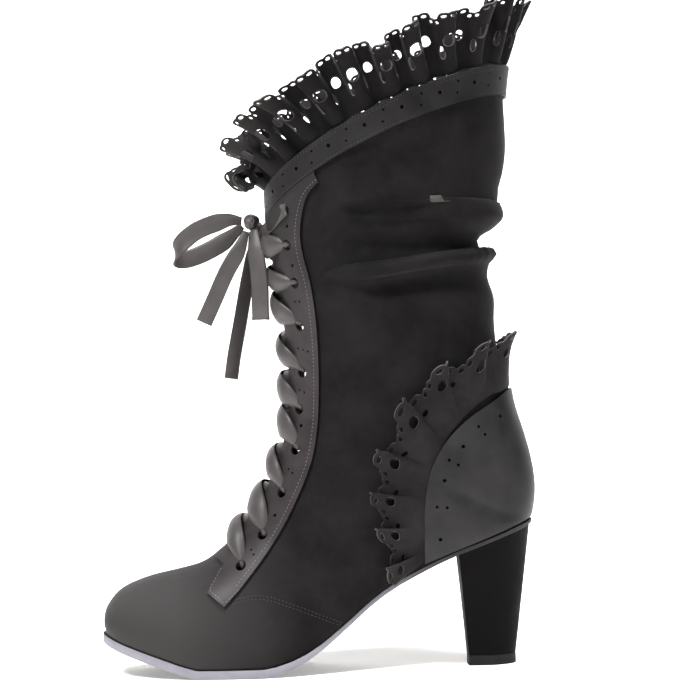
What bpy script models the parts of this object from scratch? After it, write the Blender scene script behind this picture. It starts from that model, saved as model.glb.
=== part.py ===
"""Left lace-up boot with a slanted, ruffled collar and a block heel.

X runs from the toe (-) to the heel (+), Y from the outer side (-) to the inner side (+),
Z is up and the floor is z = 0. Tables and sizes are in millimetres, and MM turns them into metres.
"""
import math
from collections import namedtuple

import bmesh
import bpy
import numpy as np
from mathutils import Vector

MM = 0.001
OUTER = -1
INNER = 1
SIDES = (OUTER, INNER)

# The tables measure X from the middle of the shin, and the finished boot stands over its own middle
ORIGIN_X = 19.5

WALL = 1.8
GAP = 0.3
SEAM_GAP = 0.5
SAG = 12.0

# One row for each section of the last and shaft, from the toe tip to the collar.
# ridge: front point of the section. end: feather edge on the foot, middle of the back on the shaft,
# and None takes the height from the sole. outer, inner: widest reach from the middle plane.
# outer_end, inner_end: reach at the end point. widest: its place along the section, 0 to 1.
# front, rear: roundness, 2 is an ellipse. shift: sideways place of the ridge.
# sag: how far the section bows up like the collar. fold: crease (-) or roll (+) of the slack shaft.
# throat: half width of the lacing opening, along the skin.
Section = namedtuple(
    "Section",
    "ridge_x ridge_z end_x end_z outer inner outer_end inner_end widest front rear shift sag fold throat",
)
SECTIONS = (
    Section(-139.8, 22.9, -139.8, None, -4.0, 4.0, -4.0, 4.0, 0.60, 2.2, 2.4, 4.0, 0, 0, 0),
    Section(-141.2, 30.5, -138.2, None, 9.0, 16.0, 6.5, 13.5, 0.62, 2.2, 2.4, 4.0, 0, 0, 0),
    Section(-139.0, 38.5, -131.5, None, 19.5, 24.0, 16.0, 20.5, 0.68, 2.3, 2.6, 4.0, 0, 0, 0),
    Section(-131.0, 47.3, -121.0, None, 27.0, 29.5, 23.5, 26.0, 0.72, 2.3, 2.8, 3.5, 0, 0, 0),
    Section(-116.0, 53.5, -106.0, None, 33.5, 33.5, 30.0, 30.0, 0.75, 2.2, 3.0, 3.0, 0, 0, 0),
    Section(-100.0, 57.0, -88.0, None, 38.0, 36.0, 34.5, 32.5, 0.77, 2.1, 3.0, 3.0, 0, 0, 0),
    Section(-87.0, 60.2, -70.0, None, 40.5, 37.5, 37.0, 34.0, 0.78, 2.0, 3.0, 3.0, 0, 0, 0),
    Section(-78.0, 65.5, -52.0, None, 41.0, 37.0, 37.5, 33.5, 0.78, 2.0, 3.0, 3.0, 0, 0, 0),
    Section(-68.5, 75.0, -36.0, None, 39.5, 34.5, 35.0, 29.0, 0.76, 2.0, 2.8, 3.0, 0, 0, 12.0),
    Section(-59.5, 85.5, -20.0, None, 36.5, 32.0, 30.0, 22.5, 0.74, 2.0, 2.6, 2.5, 0, 0, 11.5),
    Section(-50.5, 98.5, -3.0, None, 34.0, 31.0, 26.0, 18.0, 0.70, 2.0, 2.5, 2.0, 0, 0, 11.0),
    Section(-44.0, 112.5, 14.0, None, 32.5, 31.0, 23.5, 18.0, 0.66, 2.1, 2.5, 1.5, 0, 0, 10.5),
    Section(-38.8, 125.5, 33.0, None, 32.0, 31.5, 23.0, 20.5, 0.62, 2.2, 2.5, 1.0, 0, 0, 10.0),
    Section(-35.8, 137.0, 55.0, None, 32.0, 32.0, 24.4, 24.0, 0.58, 2.2, 2.6, 0.5, 0, 0, 9.5),
    Section(-35.0, 144.5, 77.0, None, 32.0, 32.0, 24.2, 24.2, 0.54, 2.2, 2.5, 0.0, 0, 0, 9.5),
    Section(-34.9, 150.5, 90.0, None, 32.3, 32.3, 16.3, 16.3, 0.51, 2.2, 2.3, 0.0, 0, 0, 9.5),
    Section(-34.8, 156.0, 95.2, None, 32.5, 32.5, 0.0, 0.0, 0.50, 2.2, 2.3, 0.0, 0, 0, 9.5),
    Section(-34.7, 161.0, 98.0, 91.0, 32.7, 32.7, 0.0, 0.0, 0.50, 2.2, 2.4, 0.0, 0, 0, 9.5),
    Section(-34.6, 166.0, 98.3, 102.0, 33.0, 33.0, 0.0, 0.0, 0.50, 2.2, 2.5, 0.0, 0, 0, 9.5),
    Section(-34.6, 171.5, 96.2, 115.0, 34.0, 34.0, 0.0, 0.0, 0.50, 2.2, 2.6, 0.0, 0, 0, 9.5),
    Section(-34.8, 177.0, 92.6, 129.0, 35.0, 35.0, 0.0, 0.0, 0.50, 2.2, 2.5, 0.0, 0, 0, 9.5),
    Section(-35.0, 182.5, 88.3, 143.0, 36.5, 36.5, 0.0, 0.0, 0.50, 2.2, 2.4, 0.0, 0, 0, 9.5),
    Section(-35.4, 188.0, 86.5, 156.0, 38.0, 38.0, 0.0, 0.0, 0.50, 2.2, 2.3, 0.0, 0, 0, 9.5),
    Section(-36.0, 193.5, 81.9, 172.0, 40.0, 40.0, 0.0, 0.0, 0.50, 2.2, 2.2, 0.0, 0, 0, 9.5),
    Section(-36.8, 199.0, 80.4, 188.0, 42.0, 42.0, 0.0, 0.0, 0.50, 2.2, 2.2, 0.0, 0, 0, 9.5),
    Section(-37.5, 204.0, 80.7, 202.0, 43.5, 43.5, 0.0, 0.0, 0.50, 2.2, 2.2, 0.0, 0, 0, 9.5),
    Section(-38.0, 208.0, 77.5, 214.0, 44.5, 44.5, 0.0, 0.0, 0.50, 2.2, 2.2, 0.0, 0, 0, 9.5),
    Section(-38.6, 212.0, 79.0, 225.5, 45.5, 45.5, 0.0, 0.0, 0.50, 2.2, 2.2, 0.0, 0, 1.5, 9.5),
    Section(-38.9, 214.5, 75.0, 230.2, 45.5, 45.5, 0.0, 0.0, 0.50, 2.2, 2.2, 0.0, 0.05, -2.5, 9.5),
    Section(-39.6, 219.5, 82.6, 240.7, 46.5, 46.5, 0.0, 0.0, 0.50, 2.2, 2.2, 0.0, 0.40, 1.5, 9.5),
    Section(-40.2, 224.0, 86.5, 246.5, 47.0, 47.0, 0.0, 0.0, 0.50, 2.2, 2.2, 0.0, 0.70, 3.0, 9.5),
    Section(-40.7, 228.0, 80.6, 252.9, 47.2, 47.2, 0.0, 0.0, 0.50, 2.2, 2.2, 0.0, 0.95, -2.0, 9.5),
    Section(-41.2, 232.0, 83.4, 261.0, 47.8, 47.8, 0.0, 0.0, 0.50, 2.2, 2.2, 0.0, 1.0, -0.5, 9.5),
    Section(-41.8, 236.0, 87.5, 271.0, 48.3, 48.3, 0.0, 0.0, 0.50, 2.2, 2.2, 0.0, 1.0, 0, 9.5),
    Section(-42.3, 240.0, 89.6, 284.0, 49.0, 49.0, 0.0, 0.0, 0.50, 2.2, 2.2, 0.0, 1.0, 0, 9.5),
    Section(-42.8, 243.5, 89.6, 299.0, 49.5, 49.5, 0.0, 0.0, 0.50, 2.2, 2.2, 0.0, 1.0, 0, 9.5),
    Section(-43.0, 247.0, 89.3, 313.0, 50.0, 50.0, 0.0, 0.0, 0.50, 2.2, 2.2, 0.0, 1.0, 0, 9.5),
    Section(-43.3, 262.0, 91.4, 329.5, 51.0, 51.0, 0.0, 0.0, 0.50, 2.2, 2.2, 0.0, 1.0, 0, 9.5),
)
HEEL_ROW = 16
ROUND_ROW = 14
HEEL_HALF = 24.3
HEEL_ROUND = 20.0
BAND_ROW = 36
TOP_ROW = len(SECTIONS) - 1
ANKLE_ROWS = (17, 18.5, 20, 21.5, 23, 24.5, 26)
SHAFT_ROWS = (27, 28, 29, 30, 31, 32, 33, 34.5)
MESH_ROWS = (*range(8), 7.5, *range(8, 17), *ANKLE_ROWS, *SHAFT_ROWS, BAND_ROW, BAND_ROW + 0.5, TOP_ROW)
MESH_COLUMNS = (0, 0.09, 0.19, 0.31, 0.45, 0.58, 0.71, 0.83, 0.93, 1.0)
FINE_STEPS = 97

# Underside of the sole from toe to heel: place, height and thickness above it
SoleStation = namedtuple("SoleStation", "x bottom thickness")
SOLE_STATIONS = (
    SoleStation(-142.0, 18.2, 5.0),
    SoleStation(-131.5, 14.0, 5.0),
    SoleStation(-121.0, 10.4, 5.0),
    SoleStation(-106.0, 5.4, 5.0),
    SoleStation(-97.0, 2.4, 4.9),
    SoleStation(-88.0, 0.0, 4.8),
    SoleStation(-52.0, 0.0, 4.8),
    SoleStation(-45.0, 1.3, 4.6),
    SoleStation(-36.0, 4.4, 4.2),
    SoleStation(-28.0, 8.2, 3.9),
    SoleStation(-20.0, 13.4, 3.6),
    SoleStation(-12.0, 19.7, 3.4),
    SoleStation(-3.0, 27.2, 3.2),
    SoleStation(5.0, 34.2, 3.1),
    SoleStation(14.0, 41.0, 3.0),
    SoleStation(23.0, 46.6, 2.8),
    SoleStation(33.0, 51.8, 2.6),
    SoleStation(44.0, 57.2, 2.4),
    SoleStation(55.0, 62.0, 2.3),
    SoleStation(98.0, 77.6, 2.2),
)
WELT = 2.6

bpy.ops.object.select_all(action="DESELECT")
for leftover in list(bpy.data.objects):
    bpy.data.objects.remove(leftover, do_unlink=True)

boot = bpy.data.collections.new("lace_up_boot")
tools = bpy.data.collections.new("cutters")
bpy.context.scene.collection.children.link(boot)
bpy.context.scene.collection.children.link(tools)


def finish(name, colour, roughness):
    """A plain material for one piece."""
    material = bpy.data.materials.new(name)
    material.use_nodes = True
    shader = material.node_tree.nodes["Principled BSDF"]
    shader.inputs["Base Color"].default_value = (*colour, 1.0)
    shader.inputs["Roughness"].default_value = roughness
    shader.inputs["Metallic"].default_value = 0.0
    return material


SUEDE = finish("black_suede", (0.022, 0.021, 0.021), 0.9)
LEATHER = finish("grey_black_leather", (0.045, 0.042, 0.043), 0.5)
RIBBON = finish("grey_satin_ribbon", (0.13, 0.125, 0.125), 0.35)
SOLE_EDGE = finish("grey_sole", (0.32, 0.31, 0.37), 0.6)
HEEL_COVER = finish("black_heel_leather", (0.008, 0.007, 0.007), 0.45)
LINING = finish("grey_lining", (0.09, 0.08, 0.075), 0.8)


def metres(point):
    """A point of the tables, in metres over the boot's own middle."""
    return Vector((point[0] + ORIGIN_X, point[1], point[2])) * MM


def add_object(name, mesh, material, collection=boot):
    thing = bpy.data.objects.new(name, mesh)
    mesh.materials.append(material)
    collection.objects.link(thing)
    return thing


def mesh_from(name, points, faces, closed=False):
    """A mesh from table points, with points that meet merged. A closed one gets its faces turned outward."""
    shape = bmesh.new()
    corners = [shape.verts.new(metres(point)) for point in points]
    for face in faces:
        shape.faces.new([corners[index] for index in face])
    bmesh.ops.remove_doubles(shape, verts=shape.verts, dist=0.02 * MM)
    if closed:
        bmesh.ops.recalc_face_normals(shape, faces=shape.faces)
    mesh = bpy.data.meshes.new(name)
    shape.to_mesh(mesh)
    shape.free()
    return mesh


def sheet_faces(rows, columns, flip=False, closed=False):
    """Triangles over a grid of points that is stored row by row, all split along the same diagonal."""
    faces = []
    for row in range(rows - 1):
        for column in range(columns if closed else columns - 1):
            a = row * columns + column
            b = row * columns + (column + 1) % columns
            for triangle in ((a, b, b + columns), (a, b + columns, a + columns)):
                faces.append(triangle[::-1] if flip else triangle)
    return faces


def thicken(thing, thickness, offset):
    modifier = thing.modifiers.new("thickness", "SOLIDIFY")
    modifier.thickness = thickness * MM
    modifier.offset = offset
    modifier.use_even_offset = False
    modifier.use_rim = True
    return modifier


# Shape of the last and shaft: every piece that lies on the foot is read from these functions


def sole_bottom(x):
    return float(np.interp(x, [s.x for s in SOLE_STATIONS], [s.bottom for s in SOLE_STATIONS]))


def sole_top(x):
    thick = np.interp(x, [s.x for s in SOLE_STATIONS], [s.thickness for s in SOLE_STATIONS])
    return sole_bottom(x) + float(thick)


TABLE = np.array(
    [row._replace(end_z=sole_top(row.end_x) + GAP if row.end_z is None else row.end_z) for row in SECTIONS],
    dtype=float,
)


def section_at(t):
    """The section table at place t, on a smooth curve through its rows. The feather edge is round at the heel."""
    i = int(min(max(math.floor(t), 0), TOP_ROW - 1))
    f = t - i
    before, here, after, beyond = (TABLE[min(max(i + k, 0), TOP_ROW)] for k in (-1, 0, 1, 2))
    slope_here = (after - before) / 2
    slope_after = (beyond - here) / 2
    cubic = (
        here * (2 * f**3 - 3 * f**2 + 1)
        + slope_here * (f**3 - 2 * f**2 + f)
        + after * (-2 * f**3 + 3 * f**2)
        + slope_after * (f**3 - f**2)
    )
    row = Section(*cubic)
    if t >= HEEL_ROW:
        return row._replace(outer_end=0.0, inner_end=0.0)
    row = row._replace(end_z=sole_top(row.end_x) + GAP)
    if t <= ROUND_ROW:
        return row
    past = 1 - (TABLE[HEEL_ROW][2] - row.end_x) / HEEL_ROUND
    reach = HEEL_HALF * math.sqrt(max(1 - past * past, 0.0))
    return row._replace(outer_end=reach, inner_end=reach)


def smooth(value):
    value = np.clip(value, 0.0, 1.0)
    return value * value * (3 - 2 * value)


_outlines = {}


def outline(t, side):
    """The section at t on one side, as fine points from ridge to end, and their distance along the skin."""
    key = (round(t, 4), side)
    if key in _outlines:
        return _outlines[key]
    row = section_at(t)
    widest, end = (row.outer + row.shift, row.outer_end + row.shift)
    if side == INNER:
        widest, end = (row.inner - row.shift, row.inner_end - row.shift)
    angle = np.linspace(0.0, math.pi, FINE_STEPS)
    fore = angle <= math.pi / 2
    cosine = np.abs(np.cos(angle))
    sine = np.abs(np.sin(angle))
    along_fore = row.widest * (1 - cosine ** (2 / row.front))
    along_rear = row.widest + (1 - row.widest) * cosine ** (2 / row.rear)
    along = np.where(fore, along_fore, along_rear)
    reach_fore = widest * sine ** (2 / row.front)
    reach_rear = end + (widest - end) * sine ** (2 / row.rear)
    reach = np.where(fore, reach_fore, reach_rear)
    reach = reach * (1 + row.fold * smooth((along - 0.1) / 0.35) / max(widest, 1.0))
    chord = np.array([row.end_x - row.ridge_x, row.end_z - row.ridge_z])
    length = max(float(np.hypot(*chord)), 0.001)
    bow = SAG * row.sag * np.sin(math.pi * along**0.8) ** 0.7
    x = row.ridge_x + chord[0] * along - chord[1] / length * bow
    z = row.ridge_z + chord[1] * along + chord[0] / length * bow
    y = row.shift + side * reach
    points = np.stack([x, y, z], axis=1)
    steps = np.linalg.norm(np.diff(points, axis=0), axis=1)
    distance = np.concatenate([[0.0], np.cumsum(steps)])
    _outlines[key] = (points, distance)
    return points, distance


def girth(t, side):
    """Distance along the skin from the ridge to the end of section t."""
    return float(outline(t, side)[1][-1])


def bare_skin(t, s, side):
    """Point on the skin: section t, s millimetres from the ridge. A negative s lies on the other side."""
    if s < 0:
        return bare_skin(t, -s, -side)
    points, distance = outline(t, side)
    if s > distance[-1] and t >= HEEL_ROW:
        return bare_skin(t, 2 * distance[-1] - s, -side)
    return np.array([np.interp(s, distance, points[:, axis]) for axis in range(3)])


def skin(t, s, side, out=0.0):
    """Point on the skin, moved out along its normal."""
    place = bare_skin(t, s, side)
    if out == 0.0:
        return Vector(place)
    lower, upper = max(t - 0.2, 0.4), min(t + 0.2, TOP_ROW)
    share = s / girth(t, side)
    up = bare_skin(upper, share * girth(upper, side), side) - bare_skin(lower, share * girth(lower, side), side)
    back = bare_skin(t, s + 1.5, side) - bare_skin(t, s - 1.5, side)
    normal = Vector(np.cross(back, up)).normalized() * (-side)
    return Vector(place) + normal * out


def throat(t):
    """Half width of the lacing opening at section t."""
    return max(section_at(t).throat, 0.0)


# Upper: vamp, quarters and shaft in one hollow wall, open at the collar, the throat and underneath


def upper_columns(t, side):
    start = throat(t)
    return [start + (girth(t, side) - start) * share for share in MESH_COLUMNS]


def make_upper():
    points = []
    faces = []
    for side in SIDES:
        first = len(points)
        for t in MESH_ROWS:
            points += [skin(t, s, side) for s in upper_columns(t, side)]
        triangles = sheet_faces(len(MESH_ROWS), len(MESH_COLUMNS), flip=side == INNER)
        faces += [[first + index for index in triangle] for triangle in triangles]
    upper = add_object("upper", mesh_from("upper", points, faces), SUEDE)
    thicken(upper, WALL, -1)
    return upper


upper = make_upper()


# Sole, insole and heel


def flat_loft(name, stations, material):
    """A solid over stations of (x, outer y, inner y, bottom, top), with a straight edge between them."""
    points = []
    for x, outer_y, inner_y, bottom, top in stations:
        middle = (outer_y + inner_y) / 2
        for y in (outer_y, middle, inner_y):
            points.append((x, y, top))
        for y in (inner_y, middle, outer_y):
            points.append((x, y, bottom))
    ring = 6
    faces = sheet_faces(len(stations), ring, closed=True)
    last = (len(stations) - 1) * ring
    for first, flip in ((0, False), (last, True)):
        for a, b, c, d in ((0, 1, 4, 5), (1, 2, 3, 4)):
            cap = (first + a, first + b, first + c, first + d)
            faces.append(cap[::-1] if flip else cap)
    return add_object(name, mesh_from(name, points, faces, closed=True), material)


FOOT_ROWS = tuple(t for t in MESH_ROWS if t <= HEEL_ROW)


def foot_stations(margin, reach, bottom, top):
    """Stations under the feather edge, one for each section of the foot.

    margin widens its opening, and reach lengthens it at the toe and the back.
    """
    tip = section_at(0)
    back = section_at(HEEL_ROW)
    stations = [(tip.end_x - reach, tip.shift - TIP_HALF, tip.shift + TIP_HALF)]
    for row in map(section_at, FOOT_ROWS[1:-1]):
        if tip.end_x - reach < row.end_x < back.end_x + reach:
            stations.append((row.end_x, -row.outer_end - margin, row.inner_end + margin))
    stations.append((back.end_x + reach, -BACK_HALF, BACK_HALF))
    return [(x, outer_y, inner_y, bottom(x), top(x)) for x, outer_y, inner_y in stations]


TIP_HALF = 2.5
BACK_HALF = 5.0
WELT_ENDS = 1.6
outsole = flat_loft("outsole", foot_stations(WELT, WELT_ENDS, sole_bottom, sole_top), SOLE_EDGE)

INSOLE_THICKNESS = 1.6
INSOLE_INSET = 4.2
INSOLE_ENDS = 7.0


def insole_bottom(x):
    return sole_top(x) + GAP


def insole_top(x):
    return insole_bottom(x) + INSOLE_THICKNESS


insole = flat_loft("insole", foot_stations(-INSOLE_INSET, -INSOLE_ENDS, insole_bottom, insole_top), LINING)

# Heel block and its top piece

HEEL_TOP = (55.2, 96.4, 25.8)
HEEL_FOOT = (59.5, 86.7, 13.8)
HEEL_LEVELS = (0.0, 0.12, 0.28, 0.5, 0.75, 1.0)
HEEL_NARROWING = 1.5
HEEL_TIP_HEIGHT = 5.5
HEEL_ROUND_POINTS = 12


def heel_outline(share):
    """D-shaped outline of the heel, share 0 at the seat and 1 at the foot: flat breast, round back."""
    front = HEEL_TOP[0] + (HEEL_FOOT[0] - HEEL_TOP[0]) * share
    back = HEEL_TOP[1] + (HEEL_FOOT[1] - HEEL_TOP[1]) * share
    half = HEEL_FOOT[2] + (HEEL_TOP[2] - HEEL_FOOT[2]) * (1 - share) ** HEEL_NARROWING
    middle = front + (back - front) * 0.42
    points = [(front, -half * 0.9)]
    for step in range(HEEL_ROUND_POINTS + 1):
        angle = -math.pi / 2 + math.pi * step / HEEL_ROUND_POINTS
        points.append((middle + (back - middle) * math.cos(angle), half * math.sin(angle)))
    points.append((front, half * 0.9))
    return points


def stacked_loft(name, rings, material):
    """A closed solid over rings of points with the same count, from its top ring to its bottom ring."""
    count = len(rings[0])
    points = [point for ring in rings for point in ring]
    faces = sheet_faces(len(rings), count, closed=True)
    faces.append(tuple(range(count)))
    faces.append(tuple(range(len(points) - 1, len(points) - count - 1, -1)))
    return add_object(name, mesh_from(name, points, faces, closed=True), material)


def heel_ring(share):
    foot = HEEL_TIP_HEIGHT + GAP
    ring = []
    for x, y in heel_outline(share):
        seat = sole_bottom(x) - GAP
        ring.append((x, y, seat + (foot - seat) * share))
    return ring


heel = stacked_loft("heel", [heel_ring(share) for share in HEEL_LEVELS], HEEL_COVER)
heel_tip = stacked_loft(
    "heel_tip",
    [[(x, y, z) for x, y in heel_outline(1.0)] for z in (HEEL_TIP_HEIGHT, 0.0)],
    HEEL_COVER,
)


# Tongue: a curved strip behind the lacing, from under the vamp to the collar

TONGUE_ROWS = (*MESH_ROWS[6:-1], BAND_ROW + 0.9)
TONGUE_SHARES = (-1.0, -0.5, 0.0, 0.5, 1.0)
TONGUE_OVERLAP = 7.0
TONGUE_THICKNESS = 1.4
TONGUE_DEPTH = WALL + 1.2


def make_tongue():
    points = []
    for t in TONGUE_ROWS:
        half = max(throat(t), 9.0) + TONGUE_OVERLAP
        points += [skin(t, -half * share, OUTER, -TONGUE_DEPTH) for share in TONGUE_SHARES]
    faces = sheet_faces(len(TONGUE_ROWS), len(TONGUE_SHARES), flip=True)
    tongue = add_object("tongue", mesh_from("tongue", points, faces), SUEDE)
    thicken(tongue, TONGUE_THICKNESS, -1)
    return tongue


tongue = make_tongue()


# Cutters

FAR = 90.0


def side_prism(name, profile, y_from, y_to):
    """A cutter: a side-view outline drawn through the boot from y_from to y_to."""
    count = len(profile)
    points = [(x, y_from, z) for x, z in profile] + [(x, y_to, z) for x, z in profile]
    faces = [tuple(range(count)), tuple(range(2 * count - 1, count - 1, -1))]
    faces += [(i, (i + 1) % count, (i + 1) % count + count, i + count) for i in range(count)]
    return hide(add_object(name, mesh_from(name, points, faces, closed=True), LINING, tools))


def hide(cutter):
    cutter.hide_render = True
    cutter.display_type = "WIRE"
    return cutter


def boolean(thing, cutter, operation):
    modifier = thing.modifiers.new(cutter.name, "BOOLEAN")
    modifier.operation = operation
    modifier.object = cutter
    return modifier


# Eyestays: a strip of leather along each side of the throat, ending in a square tab on the vamp

EYESTAY_ROWS = (5.5, *MESH_ROWS[6:-3], BAND_ROW - 0.1)
EYESTAY_REACH = 62.0
EYESTAY_SHARES = (0, 0.12, 0.26, 0.42, 0.65, 1.0)
EYESTAY_TAB_FRONT = 12.0
EYESTAY_THICKNESS = 1.2
EYESTAY_OUTLINE = (
    (-72.2, 39.1),
    (-81.7, 46.8),
    (-72.9, 61.3),
    (-120.0, 92.0),
    (-120.0, 300.0),
    (5.0, 300.0),
    (-3.9, 274.4),
    (-20.4, 259.8),
    (-23.8, 249.4),
    (-25.1, 241.0),
    (-23.8, 230.0),
    (-20.6, 213.5),
    (-18.4, 195.9),
    (-17.5, 175.7),
    (-17.8, 154.0),
    (-19.3, 133.8),
    (-23.8, 113.2),
    (-35.5, 87.8),
    (-48.2, 67.6),
    (-63.5, 48.4),
)
EYELETS = 10
EYELET_RADIUS = 2.6
EYELET_INSET = 12.0
EYELET_FIRST = (-63.3, 59.6)
EYELET_LAST = (-32.6, 253.0)


def side_place(x, z, side):
    """Section and skin distance of the point that shows at x, z from the side."""
    low, high = 4.0, float(TOP_ROW)
    for _ in range(40):
        t = (low + high) / 2
        points, distance = outline(t, side)
        if np.interp(x, points[:, 0], points[:, 2]) < z:
            low = t
        else:
            high = t
    points, distance = outline(round(low, 3), side)
    return low, float(np.interp(x, points[:, 0], distance))


def eyestay_front(t):
    return max(throat(t), EYESTAY_TAB_FRONT if t < 8 else 0.0)


def eyelet_places(side):
    """Section and skin distance of the eyelets, evenly spaced up the eyestay."""
    first = side_place(*EYELET_FIRST, side)[0]
    last = side_place(*EYELET_LAST, side)[0]
    steps = np.linspace(first, last, 200)
    line = [skin(t, eyestay_front(t) + EYELET_INSET, side) for t in steps]
    lengths = np.concatenate([[0.0], np.cumsum([(b - a).length for a, b in zip(line, line[1:])])])
    places = np.interp(np.linspace(0, lengths[-1], EYELETS), lengths, steps)
    return [(float(t), eyestay_front(t) + EYELET_INSET) for t in places]


def skin_normal(t, s, side):
    return (skin(t, s, side, 1.0) - skin(t, s, side)).normalized()


def eyelet_punches(side):
    """The punches of one side's eyelets, joined as one cutter."""
    shape = bmesh.new()
    for t, s in eyelet_places(side):
        turn = skin_normal(t, s, side).to_track_quat("Z", "Y").to_matrix().to_4x4()
        turn.translation = metres(skin(t, s, side))
        bmesh.ops.create_cone(
            shape,
            cap_ends=True,
            segments=7,
            radius1=EYELET_RADIUS * MM,
            radius2=EYELET_RADIUS * MM,
            depth=14.0 * MM,
            matrix=turn,
        )
    name = "eyelet_punches_" + SIDE_NAMES[side]
    mesh = bpy.data.meshes.new(name)
    shape.to_mesh(mesh)
    shape.free()
    return hide(add_object(name, mesh, LINING, tools))


SIDE_NAMES = {OUTER: "outer", INNER: "inner"}
punches = {side: eyelet_punches(side) for side in SIDES}
for side in SIDES:
    boolean(upper, punches[side], "DIFFERENCE")


def make_eyestay(side):
    points = []
    for t in EYESTAY_ROWS:
        front = eyestay_front(t) + 0.2
        points += [
            skin(t, front + (EYESTAY_REACH - front) * share, side, SEAM_GAP) for share in EYESTAY_SHARES
        ]
    faces = sheet_faces(len(EYESTAY_ROWS), len(EYESTAY_SHARES), flip=side == INNER)
    name = "eyestay_" + SIDE_NAMES[side]
    eyestay = add_object(name, mesh_from(name, points, faces), LEATHER)
    thicken(eyestay, EYESTAY_THICKNESS, 1)
    cutter = side_prism(name + "_outline", EYESTAY_OUTLINE, 0.0, side * FAR)
    boolean(eyestay, cutter, "INTERSECT")
    boolean(eyestay, punches[side], "DIFFERENCE")
    return eyestay


eyestays = [make_eyestay(side) for side in SIDES]


# Collar band and heel counter, on the same grid as the upper

BAND_THICKNESS = 1.3
COUNTER_ROWS = tuple(t for t in MESH_ROWS if 12 <= t <= 23)
COUNTER_COLUMNS = MESH_COLUMNS[3:]
COUNTER_EDGE = (
    (37.1, 58.1),
    (37.2, 72.0),
    (38.0, 90.0),
    (40.9, 106.2),
    (46.1, 117.7),
    (53.2, 127.5),
    (64.0, 137.2),
    (75.0, 144.0),
    (85.4, 151.0),
)


def overlay(name, rows, shares, thickness):
    """A plate on the skin, over both sides and closed at the back, on the upper's own grid."""
    points = []
    faces = []
    for side in SIDES:
        first = len(points)
        for t in rows:
            start = throat(t)
            spread = girth(t, side) - start
            points += [skin(t, start + spread * share, side, GAP) for share in shares]
        triangles = sheet_faces(len(rows), len(shares), flip=side == INNER)
        faces += [[first + index for index in triangle] for triangle in triangles]
    plate = add_object(name, mesh_from(name, points, faces), LEATHER)
    thicken(plate, thickness, 1)
    return plate


collar_band = overlay("collar_band", (BAND_ROW, BAND_ROW + 0.5, TOP_ROW), MESH_COLUMNS, BAND_THICKNESS)
heel_counter = overlay("heel_counter", COUNTER_ROWS, COUNTER_COLUMNS, BAND_THICKNESS)
counter_outline = side_prism(
    "heel_counter_outline",
    (*COUNTER_EDGE, (140.0, 165.0), (140.0, 97.2)),
    -FAR,
    FAR,
)
boolean(heel_counter, counter_outline, "INTERSECT")


# Ruffles: gathered strips of leather, sewn along the collar and along the counter's edge

RUFFLE_THICKNESS = 1.1
RUFFLE_STEPS = (0.0, 0.5, 1.0)
COLUMNS_PER_WAVE = 4
COLLAR_WAVES = 24
COLLAR_RUFFLE_HEIGHT = 36.5
COLLAR_FLARE = math.radians(22)
COLLAR_FLARE_BACK = math.radians(2)
COLLAR_WAVE = (0.7, 3.4, 5.6)
COUNTER_WAVES = 16
COUNTER_WAVE = (0.2, 2.0, 3.6)
COUNTER_STAND = (0.9, 2.6, 4.6)
RUFFLE_BASE = 0.8


def make_collar_ruffle():
    columns = COLLAR_WAVES * COLUMNS_PER_WAVE + 1
    start = throat(TOP_ROW)
    half = girth(TOP_ROW, OUTER) - start
    points = []
    for height, wave in zip(RUFFLE_STEPS, COLLAR_WAVE):
        for column in range(columns):
            along = 2 * half * column / (columns - 1)
            side = OUTER if along <= half else INNER
            s = start + (along if along <= half else 2 * half - along)
            edge = skin(TOP_ROW, s, side)
            out = skin_normal(TOP_ROW, s, side)
            share = s / girth(TOP_ROW, side)
            below = skin(TOP_ROW - 0.3, share * girth(TOP_ROW - 0.3, side), side)
            ahead = skin(TOP_ROW, s + 1.5, side) - skin(TOP_ROW, s - 1.5, side)
            rise = edge - below
            rise = (rise - rise.project(ahead)).normalized()
            flare = COLLAR_FLARE + (COLLAR_FLARE_BACK - COLLAR_FLARE) * smooth((share - 0.6) / 0.35)
            lean = rise * math.cos(flare) + out * math.sin(flare)
            across = out * math.cos(flare) - rise * math.sin(flare)
            swing = wave * math.sin(2 * math.pi * column / COLUMNS_PER_WAVE)
            root = edge - out * (WALL / 2) + rise * RUFFLE_BASE
            points.append(root + lean * (COLLAR_RUFFLE_HEIGHT * height) + across * swing)
    faces = sheet_faces(len(RUFFLE_STEPS), columns)
    ruffle = add_object("collar_ruffle", mesh_from("collar_ruffle", points, faces), SUEDE)
    thicken(ruffle, RUFFLE_THICKNESS, 0)
    return ruffle


collar_ruffle = make_collar_ruffle()

# Side view of the counter ruffle: its sewn edge and its free edge, from the sole up to the back seam
COUNTER_RUFFLE_SEWN = (
    (33.6, 61.5),
    (34.0, 72.0),
    (35.0, 86.0),
    (37.2, 102.2),
    (41.8, 117.6),
    (49.2, 130.4),
    (60.2, 141.8),
    (71.4, 149.6),
)
COUNTER_RUFFLE_FREE = (
    (13.0, 47.5),
    (13.5, 65.0),
    (8.0, 86.0),
    (9.0, 110.0),
    (19.0, 135.0),
    (34.0, 160.0),
    (55.0, 173.0),
    (73.0, 182.0),
)
COUNTER_RUFFLE_BACK = (22.0, 23.8)


def curve_point(points, place):
    """Point at place 0 to 1 on a smooth curve through the points, which are evenly placed."""
    spot = place * (len(points) - 1)
    i = min(int(spot), len(points) - 2)
    f = spot - i
    before, here, after, beyond = (
        Vector(points[min(max(i + k, 0), len(points) - 1)]) for k in (-1, 0, 1, 2)
    )
    slope_here = (after - before) / 2
    slope_after = (beyond - here) / 2
    return (
        here * (2 * f**3 - 3 * f**2 + 1)
        + slope_here * (f**3 - 2 * f**2 + f)
        + after * (-2 * f**3 + 3 * f**2)
        + slope_after * (f**3 - f**2)
    )


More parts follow.
